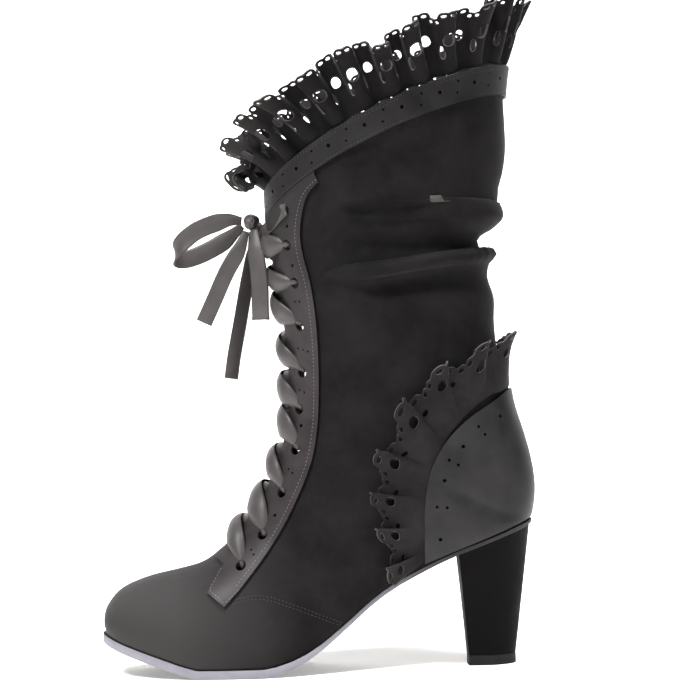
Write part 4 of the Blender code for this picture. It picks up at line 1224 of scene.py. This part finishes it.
PETAL_WIDTH = 28.0
PETAL_HEIGHT = 42.0
PETAL_GRID = 1.6
RING_RADIUS = 2.5
RING_HOLE = 1.2
RING_ROOM = 1.6
RING_DROP = 1.0
RIM_POINTS = 71
RIM_MARGIN = 0.7
HOLE_MARGIN = 0.8
GATHERED_ROOT = 0.15
GATHERED_POWER = 0.7
FOLD_OVER = 1.1
UNEVEN = 0.12
RUFFLE_THICKNESS = 1.0
Cutout = namedtuple("Cutout", "share height width length taper")
COLLAR_CUTOUTS = (
    Cutout(0.25, 23.0, 4.6, 9.0, 0.15),
    Cutout(0.75, 23.0, 4.0, 7.5, 0.15),
    Cutout(0.5, 15.0, 2.6, 9.0, 0.3),
    Cutout(0.0, 15.0, 2.6, 9.0, 0.3),
)
COUNTER_CUTOUTS = (Cutout(0.25, 19.0, 3.4, 5.0, 0.2), Cutout(0.75, 18.0, 2.2, 3.0, 0.0))
Petal = namedtuple("Petal", "height lobes dip cutouts")
COLLAR_PETAL = Petal(PETAL_HEIGHT, 2, 11.0, COLLAR_CUTOUTS)
COUNTER_PETAL = Petal(30.0, 1, 7.0, COUNTER_CUTOUTS)
RING_SHARES = {1: (-0.84, -0.52, -0.18, 0.18, 0.52, 0.84), 2: (-0.72, -0.25, 0.25, 0.72)}
RUFFLE_BLACK = (0.0035, 0.0032, 0.0032)
RUFFLE_WORN = (0.011, 0.0102, 0.0103)
# The counter ruffle's colours: the ruffle nubuck with painted light, about twice as bright as the collar
# ruffle's.
COUNTER_RUFFLE_LIT_BLACK = (0.007, 0.0064, 0.0065)
COUNTER_RUFFLE_LIT_WORN = (0.024, 0.022, 0.0225)
# Painted highlight on the petals' cut rims: colours far lighter than the nubuck, for the light on the
# scalloped edges.
CUT_RIM_HIGHLIGHT_DARK = (0.03, 0.0275, 0.028)
CUT_RIM_HIGHLIGHT_PALE = (0.085, 0.079, 0.08)


def lobe_height(shape, x):
    """Height of the free edge at x without its rings: round lobes with notches between."""
    width = PETAL_WIDTH / shape.lobes
    return shape.height - RING_ROOM - shape.dip * abs(2 * (x % width) / width - 1) ** 3


def ring_centres(shape):
    """Middles of the small rings that sit along each lobe's edge."""
    centres = []
    width = PETAL_WIDTH / shape.lobes
    for lobe in range(shape.lobes):
        for share in RING_SHARES[shape.lobes]:
            x = (lobe + 0.5 + share / 2) * width
            centres.append((x, lobe_height(shape, x) - RING_DROP))
    return centres


def petal_top(shape, x):
    """Height of the free edge with its rings."""
    top = lobe_height(shape, x)
    for middle_x, middle_y in ring_centres(shape):
        if abs(x - middle_x) < RING_RADIUS:
            top = max(top, middle_y + math.sqrt(RING_RADIUS**2 - (x - middle_x) ** 2))
    return top


def loop_points(centre_x, centre_y, width, length, taper, count):
    """A closed oval, or a drop where taper narrows its upper end."""
    points = []
    for k in range(count):
        angle = 2 * math.pi * k / count
        half = width / 2 * (1 - taper * math.sin(angle))
        points.append((centre_x + half * math.cos(angle), centre_y + length / 2 * math.sin(angle)))
    return points


def petal_loops(shape):
    """Outlines of the holes: the rings' middles, and the cut-outs, widened where the strip is gathered."""
    loops = [loop_points(x, y, 2 * RING_HOLE, 2 * RING_HOLE, 0.0, 10) for x, y in ring_centres(shape)]
    for cut in shape.cutouts:
        gathered = 0.45 + 0.55 * cut.height / shape.height
        middle = max(cut.share * PETAL_WIDTH, cut.width / gathered / 2 + 0.6)
        loops.append(loop_points(middle, cut.height, cut.width / gathered, cut.length, cut.taper, 16))
    return loops


def inside(loop, x, y):
    """Whether x, y lies in a closed loop of points."""
    hit = False
    for (x1, y1), (x2, y2) in zip(loop, loop[1:] + loop[:1]):
        if (y1 > y) != (y2 > y) and x < x1 + (y - y1) * (x2 - x1) / (y2 - y1):
            hit = not hit
    return hit


def petal_tile(shape):
    """One flat wave as points and triangles, with the cut-outs left open."""
    loops = petal_loops(shape)
    rim = [(x, petal_top(shape, x)) for x in np.linspace(0, PETAL_WIDTH, RIM_POINTS)]
    rows = int(petal_top(shape, 0.0) / PETAL_GRID)
    heights = [i * PETAL_GRID for i in range(rows)]
    left = [(0.0, y) for y in heights[::-1]]
    right = [(PETAL_WIDTH, y) for y in heights]
    columns = int(PETAL_WIDTH / PETAL_GRID)
    bottom = [(PETAL_WIDTH * i / columns, 0.0) for i in range(1, columns)]
    outline_points = [*rim, *right[::-1], *bottom[::-1], *left[::-1]]
    points = []
    edges = []
    for loop in [outline_points, *loops]:
        first = len(points)
        points += loop
        edges += [(first + i, first + (i + 1) % len(loop)) for i in range(len(loop))]
    for i in range(1, columns):
        for y in np.arange(PETAL_GRID, shape.height, PETAL_GRID):
            x = PETAL_WIDTH * i / columns
            near_hole = any(min(math.dist((x, y), spot) for spot in loop) < HOLE_MARGIN for loop in loops)
            in_hole = any(inside(loop, x, y) for loop in loops)
            if y < petal_top(shape, x) - RIM_MARGIN and not near_hole and not in_hole:
                points.append((x, float(y)))
    result = delaunay_2d_cdt([Vector(point) for point in points], edges, [], 0, 0.0001)
    flat = [tuple(point) for point in result[0]]
    triangles = []
    for face in result[2]:
        x = sum(flat[i][0] for i in face) / 3
        y = sum(flat[i][1] for i in face) / 3
        if inside(outline_points, x, y) and not any(inside(loop, x, y) for loop in loops):
            triangles.append(tuple(face))
    return np.array(flat), triangles


def gathered_strip(petal, waves, last_share, lean):
    """Place along the strip, height share and swing of every petal point. Swing is 1 at a crest."""
    u = petal[:, 0] / PETAL_WIDTH
    v = petal[:, 1] / petal[:, 1].max()
    full = GATHERED_ROOT + (1 - GATHERED_ROOT) * v**GATHERED_POWER
    places = []
    for wave in range(waves):
        spot = wave + u
        fold = full * (1 + UNEVEN * np.sin(1.9 * spot + 0.6))
        across = np.sin(2 * math.pi * u) * fold
        along = spot - FOLD_OVER * fold * np.sin(4 * math.pi * u) / (4 * math.pi)
        along = along + UNEVEN * v * np.sin(1.37 * spot + 0.4) + lean * v * np.sin(2 * math.pi * u)
        places.append(np.stack([along / (waves - 1 + last_share), v, across, spot], axis=1))
    return np.concatenate(places)


def strip_mesh(name, points, petal, triangles, waves, last_share, material):
    """Petals laid side by side in one strip. The last one keeps only last_share of its width."""
    count = len(petal)
    shape = bmesh.new()
    corners = [shape.verts.new(place(point)) for point in points]
    kept = [face for face in triangles if max(petal[i][0] for i in face) <= last_share * PETAL_WIDTH + 0.01]
    for wave in range(waves):
        for face in triangles if wave < waves - 1 else kept:
            shape.faces.new([corners[wave * count + i] for i in face])
    bmesh.ops.remove_doubles(shape, verts=shape.verts, dist=0.02 * MM)
    loose = [vertex for vertex in shape.verts if not vertex.link_faces]
    bmesh.ops.delete(shape, geom=loose, context="VERTS")
    mesh = mesh_of(name, shape)
    ruffle = add_piece(name, mesh, material, LIT_CUT_EDGE)
    # The solidified rims take slot 1, the painted highlight.
    thicken(ruffle, RUFFLE_THICKNESS, 0, rim_slot=1)
    return finished(ruffle, sharp=50.0)


RUFFLE_NUBUCK = nubuck_finish("ruffle_nubuck", RUFFLE_BLACK, RUFFLE_WORN, 0.7)
# A lit copy of the ruffle nubuck for the counter ruffle: painted light.
LIT_COUNTER_NUBUCK = nubuck_finish("counter_nubuck", COUNTER_RUFFLE_LIT_BLACK, COUNTER_RUFFLE_LIT_WORN, 0.7)
# Material of the cut rims: a painted highlight.
LIT_CUT_EDGE = nubuck_finish("cut_edge", CUT_RIM_HIGHLIGHT_DARK, CUT_RIM_HIGHLIGHT_PALE, 0.4)


# Collar ruffle
# It stands on the inside of the band all round the slanted top, flared outward at the front and sides and
# nearly upright at the back, and its two ends fan forward over the shin.

COLLAR_WAVES = 24
COLLAR_LAST = 0.5
COLLAR_FLARE = math.radians(24)
COLLAR_FLARE_BACK = math.radians(3)
COLLAR_SWING = 6.4
COLLAR_FAN = math.radians(66)
COLLAR_FAN_REACH = 20.0
COLLAR_SAMPLES = 240
COLLAR_BASE = 0.8
COLLAR_LOBE = 0.06
COLLAR_UNEVEN = 0.05
COLLAR_TWIST = math.radians(5)
COLLAR_HEIGHT_SHARES = (0.0, 0.14, 0.6, 1.0)
COLLAR_HEIGHTS = (29.0, 36.0, 36.5, 36.5)


def collar_ruffle_points(petal):
    """The strip round the top, from one end over the back seam to the other."""
    start = throat(TOP_ROW)
    half = girth(TOP_ROW, OUTER) - start
    frames = []
    for along in np.linspace(0, 2 * half, COLLAR_SAMPLES):
        side = OUTER if along <= half else INNER
        s = start + (along if along <= half else 2 * half - along)
        edge = skin(TOP_ROW, s, side)
        out = skin_normal(TOP_ROW, s, side)
        share = s / girth(TOP_ROW, side)
        below = skin(TOP_ROW - 0.3, share * girth(TOP_ROW - 0.3, side), side)
        ahead = (skin(TOP_ROW, s + SLOPE_REACH, side) - skin(TOP_ROW, s - SLOPE_REACH, side)).normalized()
        rise = edge - below
        rise = (rise - rise.project(ahead)).normalized()
        root = edge - out * (WALL / 2) + rise * COLLAR_BASE
        frames.append([*root, *out, *rise, *(-ahead), (s - start) / half])
    frames = np.array(frames)
    strip = gathered_strip(petal, COLLAR_WAVES, COLLAR_LAST, 0.0)
    places = np.linspace(0, 1, COLLAR_SAMPLES)
    read = np.stack([np.interp(strip[:, 0], places, frames[:, k]) for k in range(13)], axis=1)
    root, out, rise, forward, share = read[:, 0:3], read[:, 3:6], read[:, 6:9], read[:, 9:12], read[:, 12]
    v, swing, spot = strip[:, 1], strip[:, 2], strip[:, 3]
    end = np.minimum(strip[:, 0], 1 - strip[:, 0]) * 2 * half
    flare = COLLAR_FLARE + (COLLAR_FLARE_BACK - COLLAR_FLARE) * smooth((share - 0.6) / 0.35)
    flare = flare * (0.6 + 0.6 * v) + COLLAR_TWIST * np.sin(2.1 * spot + 1.0) * v
    fan = COLLAR_FAN * np.exp(-end / COLLAR_FAN_REACH) * (0.5 + 0.5 * v)
    lean = rise * np.cos(flare)[:, None] + out * np.sin(flare)[:, None]
    lean = lean * np.cos(fan)[:, None] + forward * np.sin(fan)[:, None]
    across = out * np.cos(flare)[:, None] - rise * np.sin(flare)[:, None]
    tall = np.interp(share, COLLAR_HEIGHT_SHARES, COLLAR_HEIGHTS)
    tall = tall * (1 + COLLAR_LOBE * swing + COLLAR_UNEVEN * np.sin(2.7 * spot))
    return root + lean * (tall * v)[:, None] + across * (COLLAR_SWING * swing)[:, None]


petal, triangles = petal_tile(COLLAR_PETAL)
collar_petals = strip_mesh(
    "collar_petals", collar_ruffle_points(petal), petal, triangles, COLLAR_WAVES, COLLAR_LAST, RUFFLE_NUBUCK
)
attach(collar_petals, "root")
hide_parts("collar_ruffle")


# Counter ruffle
# The same strip runs up the front of the heel counter and round the back, tucked under the counter's edge
# and standing a little off the quarter.

COUNTER_WAVES = 16
COUNTER_SAMPLES = 97
COUNTER_DEPTHS = 7
COUNTER_SWING = (0.1, 5.4)
COUNTER_STAND = (0.4, 3.6)
COUNTER_LEAN = 0.2
COUNTER_TUCK = 4.6
COUNTER_REACH = 0.93
COUNTER_RAGGED = 0.08
COUNTER_RUFFLE_SEWN = (
    (33.6, 61.5),
    (34.0, 72.0),
    (35.0, 86.0),
    (37.2, 102.2),
    (41.8, 117.6),
    (49.2, 130.4),
    (60.2, 141.8),
    (71.4, 149.6),
)
COUNTER_RUFFLE_FREE = (
    (13.0, 47.5),
    (13.5, 65.0),
    (8.0, 86.0),
    (9.0, 110.0),
    (19.0, 135.0),
    (34.0, 160.0),
    (55.0, 173.0),
    (73.0, 182.0),
)
COUNTER_RUFFLE_BACK = (22.0, 23.8)


def ruffle_edge_place(edge, back_row, spot, side, tuck):
    """Section and skin share of an edge at spot, 0 at the sole and 1 at the back seam."""
    stretches = len(edge)
    along = min(spot * stretches / (stretches - 1), 1.0)
    on_edge = smooth_curve([(x, 0.0, z) for x, z in edge], along)
    t, s = side_place(on_edge.x + tuck, on_edge.z, side)
    share = s / girth(t, side)
    rest = max(spot * stretches - (stretches - 1), 0.0)
    return t + (back_row - t) * rest, share + (1 - share) * rest


def counter_ruffle_points(petal):
    """The strip up the outer side's counter edge, over the back seam and down the inner side's."""
    frames = np.zeros((COUNTER_SAMPLES, COUNTER_DEPTHS, 6))
    for i, along in enumerate(np.linspace(0, 2, COUNTER_SAMPLES)):
        side = OUTER if along <= 1 else INNER
        spot = along if along <= 1 else 2 - along
        sewn = ruffle_edge_place(COUNTER_RUFFLE_SEWN, COUNTER_RUFFLE_BACK[0], spot, side, COUNTER_TUCK)
        free = ruffle_edge_place(COUNTER_RUFFLE_FREE, COUNTER_RUFFLE_BACK[1], spot, side, 0.0)
        for j, depth in enumerate(np.linspace(0, 1, COUNTER_DEPTHS)):
            t = sewn[0] + (free[0] - sewn[0]) * depth
            s = (sewn[1] + (free[1] - sewn[1]) * depth) * girth(t, side)
            frames[i, j] = [*skin(t, s, side), *skin_normal(t, s, side)]
    strip = gathered_strip(petal, COUNTER_WAVES, 1.0, COUNTER_LEAN)
    column = np.clip(strip[:, 0], 0, 1) * (COUNTER_SAMPLES - 1)
    depth = COUNTER_REACH * strip[:, 1] * (1 + COUNTER_RAGGED * strip[:, 2])
    depth = np.clip(depth, 0, 1) * (COUNTER_DEPTHS - 1)
    i = np.minimum(column.astype(int), COUNTER_SAMPLES - 2)
    j = np.minimum(depth.astype(int), COUNTER_DEPTHS - 2)
    f = (column - i)[:, None]
    g = (depth - j)[:, None]
    low_edge = frames[i, j] * (1 - f) + frames[i + 1, j] * f
    high_edge = frames[i, j + 1] * (1 - f) + frames[i + 1, j + 1] * f
    read = low_edge * (1 - g) + high_edge * g
    v = strip[:, 1]
    stand = COUNTER_STAND[0] + (COUNTER_STAND[1] - COUNTER_STAND[0]) * v
    wave = COUNTER_SWING[0] + (COUNTER_SWING[1] - COUNTER_SWING[0]) * v
    out = stand + wave * (1 + strip[:, 2])
    return read[:, 0:3] + read[:, 3:6] * out[:, None]


petal, triangles = petal_tile(COUNTER_PETAL)
counter_petals = strip_mesh(
    "counter_petals", counter_ruffle_points(petal), petal, triangles, COUNTER_WAVES, 1.0, LIT_COUNTER_NUBUCK
)
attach(counter_petals, "root")
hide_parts("counter_ruffle")


# Lacing
# The ribbon comes up out of an eyelet, bunches as it crosses the throat, and dips under the other flap.
# The strands from the outer side lie over those from the inner side.

LACE_STEPS = 25
LACE_CROWN = 2.0
OVER = {OUTER: 0.9, INNER: -0.9}
LACE_LIFTS = (-2.2, 1.0, 3.4, 3.9, 3.6, 2.6, 0.4, -2.3)
LACE_WIDTHS = (3.4, 8.5, 12.5, 13.0, 12.0, 10.0, 8.0, 6.0)
LACE_START = 0.02
LACE_CLIMB = 0.78
LACE_TUCK = 2.0
LACE_UNEVEN = 0.1
STRAND_STEPS = 20
STRAND_CROWN = 0.9
STRAND_PLACES = (0, 0.25, 0.5, 0.8, 1)
STRAND_WIDTHS = (3.0, 8.0, 8.5, 7.0, 4.5)


def crossing_strip(side, low, high):
    """One ribbon from an eyelet across the throat, to just under the other flap below the next eyelet."""
    (t_low, s_low), (t_high, _) = low, high
    uneven = 1 + LACE_UNEVEN * math.sin(2.3 * t_low + side)
    spots = []
    centres = []
    widths = []
    stops = np.linspace(0, 1, len(LACE_LIFTS))
    for share in np.linspace(0, 1, LACE_STEPS):
        t = t_low + (t_high - t_low) * (LACE_START + LACE_CLIMB * share)
        s = s_low + (-(throat(t) + LACE_TUCK) - s_low) * share
        lift = float(np.interp(share, stops, LACE_LIFTS)) + OVER[side] * math.sin(math.pi * share)
        spots.append((t, s))
        centres.append(skin(t, s, side, lift))
        widths.append(float(np.interp(share, stops, LACE_WIDTHS)) * uneven)
    acrosses = []
    for i, (t, s) in enumerate(spots):
        ahead = centres[min(i + 1, LACE_STEPS - 1)] - centres[max(i - 1, 0)]
        acrosses.append(skin_normal(t, s, side).cross(ahead))
    return centres, acrosses, widths, LACE_CROWN


lace_strips = []
for k in range(len(EYELET_PLACES) - 1):
    for side in SIDES:
        lace_strips.append(crossing_strip(side, eyelets[side][k], eyelets[side][k + 1]))
lacing = ribbon_strips("ribbon_lacing", lace_strips)
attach(lacing, "root")
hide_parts(*[f"lace_crossing_{k + 1}" for k in range(len(EYELET_PLACES) - 1)])
top_strips = []
for side in SIDES:
    t, s = eyelets[side][-1]
    route = [
        skin(t, s, side, -2.2),
        skin(t, s - 1.0, side, 3.0),
        skin(t - 0.15, throat(t) * 0.75, side, 4.4),
        (skin(t, throat(t) * 0.4, side, 5.0) + KNOT) / 2 + Vector((0, side * 2.0, 1.0)),
        KNOT + Vector((2.0, side * (KNOT_RADII[1] - 1.0), 2.0)),
    ]
    shares = [k / STRAND_STEPS for k in range(STRAND_STEPS + 1)]
    centres = [smooth_curve(route, share) for share in shares]
    widths = [float(np.interp(share, STRAND_PLACES, STRAND_WIDTHS)) for share in shares]
    top_strips.append((centres, [UPRIGHT] * len(shares), widths, STRAND_CROWN))
strands = ribbon_strips("top_strands", top_strips)
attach(strands, "root")
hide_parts("lace_top_outer", "lace_top_inner")


# Sole, insole and heel
# A thin leather sole with a pale edge lies on the sewn-in upper. The block heel is covered in black
# leather, narrows to its foot, and ends in a rubber top piece.

SOLE_EDGE = (0.22, 0.215, 0.245)
SOLE_BLACK = (0.02, 0.019, 0.019)
SOLE_RUBBED = (0.05, 0.046, 0.044)
# Painted shade on the sole edge: the X range over which it darkens towards the heel.
EDGE_SHADE_FROM = 0.0
EDGE_SHADE_FULL = 75.0
HEEL_BLACK = (0.0012, 0.001, 0.0011)
HEEL_RUBBED = (0.0035, 0.0031, 0.0032)
RUBBER_BLACK = (0.008, 0.008, 0.008)
RUBBER_RUBBED = (0.014, 0.014, 0.014)
HEEL_TOP = (55.2, 96.4, 25.8)
HEEL_FOOT = (59.5, 86.7, 13.8)
HEEL_NARROWING = 1.5
HEEL_MIDDLE = 0.42
BREAST_SHARE = 0.9
BREAST_HOLLOW = 0.6
BREAST_CORNER = 0.8
SEAT_GAP = 0.15
HEEL_TIP_HEIGHT = 5.5
HEEL_LIFT = HEEL_TIP_HEIGHT + 0.25
TIP_BEVEL = 0.3
TIP_NARROWING = 0.98
HEEL_LEVELS = 22
HEEL_ROUND_POINTS = 44
FLAT_SLOPE = 0.75
RIM = ((-1.8, 1.0), (-0.25, 1.0), (0.0, 0.9), (0.05, 0.5), (0.0, 0.1), (-0.35, 0.0), (-4.0, 0.0))


def sole_edge_finish():
    """Pale at the forefoot, and darkened towards the heel by painted shade."""
    edge = Finish("sole_edge", Specular_IOR_Level=0.2)
    where = edge.place_on()
    rubbed = edge.noise(where, 6.0, 3.0)
    pale = edge.blend(rubbed * 0.6, SOLE_EDGE, tuple(c * 0.5 for c in SOLE_EDGE))
    lengthwise = edge.node("ShaderNodeSeparateXYZ", None, where, output=0)
    # Painted shade: from X 0 to 75 the edge turns to SOLE_BLACK towards the heel, where the heel seat lies in
    # shadow.
    backward = edge.spread(lengthwise, EDGE_SHADE_FROM, EDGE_SHADE_FULL)
    edge.feed("Base Color", edge.blend(backward, pale, SOLE_BLACK))
    edge.feed("Roughness", rubbed * 0.2 + 0.45)
    return edge.material


def rim_side(side):
    """Feather edge of one side from the toe to the back, and its outward direction in plan."""
    line = []
    for t in np.arange(0.0, HEEL_ROW + 0.01, 0.125):
        row = section_at(t)
        line.append((row.end_x, -row.outer_end if side == OUTER else row.inner_end))
    line = np.array(line)
    ahead = np.gradient(line, axis=0)
    out = np.stack([ahead[:, 1], -ahead[:, 0]], axis=1) * (-side)
    out[-1] = (1.0, 0.0)
    return line, out / np.linalg.norm(out, axis=1)[:, None]


def ring_shape(rings):
    """A closed form through rings that have the same number of points."""
    shape = bmesh.new()
    corners = [[shape.verts.new(place(point)) for point in ring] for ring in rings]
    count = len(rings[0])
    for one, other in zip(corners, corners[1:]):
        for k in range(count):
            following = (k + 1) % count
            shape.faces.new((one[k], one[following], other[following], other[k]))
    shape.faces.new(corners[0][::-1])
    shape.faces.new(corners[-1])
    bmesh.ops.remove_doubles(shape, verts=shape.verts, dist=0.01 * MM)
    bmesh.ops.recalc_face_normals(shape, faces=shape.faces)
    return shape


def make_sole():
    """The slab between the two feather edges, its flat faces dark and its rim pale."""
    rings = []
    sides = {side: rim_side(side) for side in SIDES}
    for i in range(len(sides[OUTER][0])):
        ring = []
        for side, profile in ((OUTER, RIM), (INNER, RIM[::-1])):
            line, out = sides[side]
            for step, height in profile:
                x, y = line[i] + out[i] * (WELT + step)
                bottom = sole_bottom(x)
                ring.append((x, y, bottom + (sole_top(x) - bottom) * height))
        rings.append(ring)
    shape = ring_shape(rings)
    for face in shape.faces:
        face.material_index = 1 if abs(face.normal.z) > FLAT_SLOPE else 0
    mesh = mesh_of("sole_slab", shape)
    edge = sole_edge_finish()
    bottom = leather_finish("sole_bottom", SOLE_BLACK, SOLE_RUBBED, 0.0, 0.6)
    sole = add_piece("sole_slab", mesh, edge, bottom)
    return finished(sole)


def heel_ring(share, foot):
    """Outline of the block heel at a share of its height, with a flat breast in front and a round back."""
    front = HEEL_TOP[0] + (HEEL_FOOT[0] - HEEL_TOP[0]) * share
    back = HEEL_TOP[1] + (HEEL_FOOT[1] - HEEL_TOP[1]) * share
    half = HEEL_FOOT[2] + (HEEL_TOP[2] - HEEL_FOOT[2]) * (1 - share) ** HEEL_NARROWING
    middle = front + (back - front) * HEEL_MIDDLE
    breast = np.linspace(half, -half, 9)[1:-1]
    points = [(front + BREAST_HOLLOW * abs(y) / half, y * BREAST_SHARE) for y in breast]
    points.append((front + BREAST_CORNER, -half * BREAST_SHARE))
    for step in range(HEEL_ROUND_POINTS + 1):
        angle = -math.pi / 2 + math.pi * step / HEEL_ROUND_POINTS
        points.append((middle + (back - middle) * math.cos(angle), half * math.sin(angle)))
    points.append((front + BREAST_CORNER, half * BREAST_SHARE))
    ring = []
    for x, y in points:
        seat = sole_bottom(x) - SEAT_GAP
        ring.append((x, y, seat + (foot - seat) * share))
    return ring


def ring_solid(name, rings, material):
    return finished(add_piece(name, mesh_of(name, ring_shape(rings)), material))


HEEL_LEATHER = leather_finish("heel_leather", HEEL_BLACK, HEEL_RUBBED, 0.0, 0.55, 0.05)
RUBBER = leather_finish("top_piece_rubber", RUBBER_BLACK, RUBBER_RUBBED, 0.0, 0.6)
heel_rings = [heel_ring(k / HEEL_LEVELS, HEEL_LIFT) for k in range(HEEL_LEVELS + 1)]
foot_ring = heel_ring(1.0, 0.0)
tip_rings = [
    [(x, y, HEEL_TIP_HEIGHT) for x, y, _ in foot_ring],
    [(x, y, TIP_BEVEL) for x, y, _ in foot_ring],
    [(x, y * TIP_NARROWING, 0.0) for x, y, _ in foot_ring],
]
for piece, node, slot in (
    (make_sole(), "outsole", "sole"),
    (ring_solid("covered_heel", heel_rings, HEEL_LEATHER), "heel", "heel_cover"),
    (ring_solid("rubber_top_piece", tip_rings, RUBBER), "heel_tip", "top_piece"),
):
    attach(piece, "root")
    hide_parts(node)
insole = bpy.data.objects["insole"]
insole.data.materials.clear()
insole.data.materials.append(LINING)


# Floor and lights
# A plain pale sweep stands for the studio floor and wall. One soft light comes from the upper left, a weak
# one from the right, and a top light draws the folds.

SWEEP_FRONT = -3.0
SWEEP_TURN = 0.9
SWEEP_RADIUS = 0.6
SWEEP_TOP = 3.0
SWEEP_HALF = 4.0
SWEEP_STEPS = 12
PAPER = (0.9, 0.89, 0.88, 1.0)
PAPER_GLOW = (1.0, 0.98, 0.96, 1.0)
SKY = (0.95, 0.96, 1.0, 1.0)
SKY_STRENGTH = 0.14
SoftLight = namedtuple("SoftLight", "name spot aim size power")
LIGHTS = (
    SoftLight("key", (-1.0, -1.2, 1.9), (0.0, 0.0, 0.18), 0.5, 78.0),
    SoftLight("fill", (1.7, -1.7, 0.9), (0.0, 0.0, 0.15), 1.0, 7.0),
    SoftLight("top", (0.25, -0.25, 1.9), (0.0, 0.0, 0.2), 0.45, 70.0),
)


def make_sweep():
    profile = [(SWEEP_FRONT, 0.0), (SWEEP_TURN, 0.0)]
    for step in range(1, SWEEP_STEPS + 1):
        angle = math.pi / 2 * step / SWEEP_STEPS
        profile.append((SWEEP_TURN + SWEEP_RADIUS * math.sin(angle), SWEEP_RADIUS * (1 - math.cos(angle))))
    profile.append((SWEEP_TURN + SWEEP_RADIUS, SWEEP_TOP))
    points = [(x, y, z) for y, z in profile for x in (-SWEEP_HALF, SWEEP_HALF)]
    faces = [(2 * i, 2 * i + 1, 2 * i + 3, 2 * i + 2) for i in range(len(profile) - 1)]
    mesh = bpy.data.meshes.new("sweep")
    mesh.from_pydata(points, [], faces)
    paper = Finish(
        "pale_paper",
        Base_Color=PAPER,
        Roughness=0.9,
        Emission_Color=PAPER_GLOW,
        Emission_Strength=0.3,
    )
    sweep = add_piece("sweep", mesh, paper.material)


def add_light(row):
    data = bpy.data.lights.new(row.name, "AREA")
    data.shape = "DISK"
    data.size = row.size
    data.energy = row.power
    light = bpy.data.objects.new(row.name, data)
    bpy.context.scene.collection.objects.link(light)
    light.location = row.spot
    light.rotation_euler = (Vector(row.aim) - Vector(row.spot)).to_track_quat("-Z", "Y").to_euler()


make_sweep()
for row in LIGHTS:
    add_light(row)
world = bpy.data.worlds.new("studio")
world.use_nodes = True
background = world.node_tree.nodes["Background"]
background.inputs["Color"].default_value = SKY
background.inputs["Strength"].default_value = SKY_STRENGTH
bpy.context.scene.world = world
bpy.context.scene.view_settings.view_transform = "Standard"
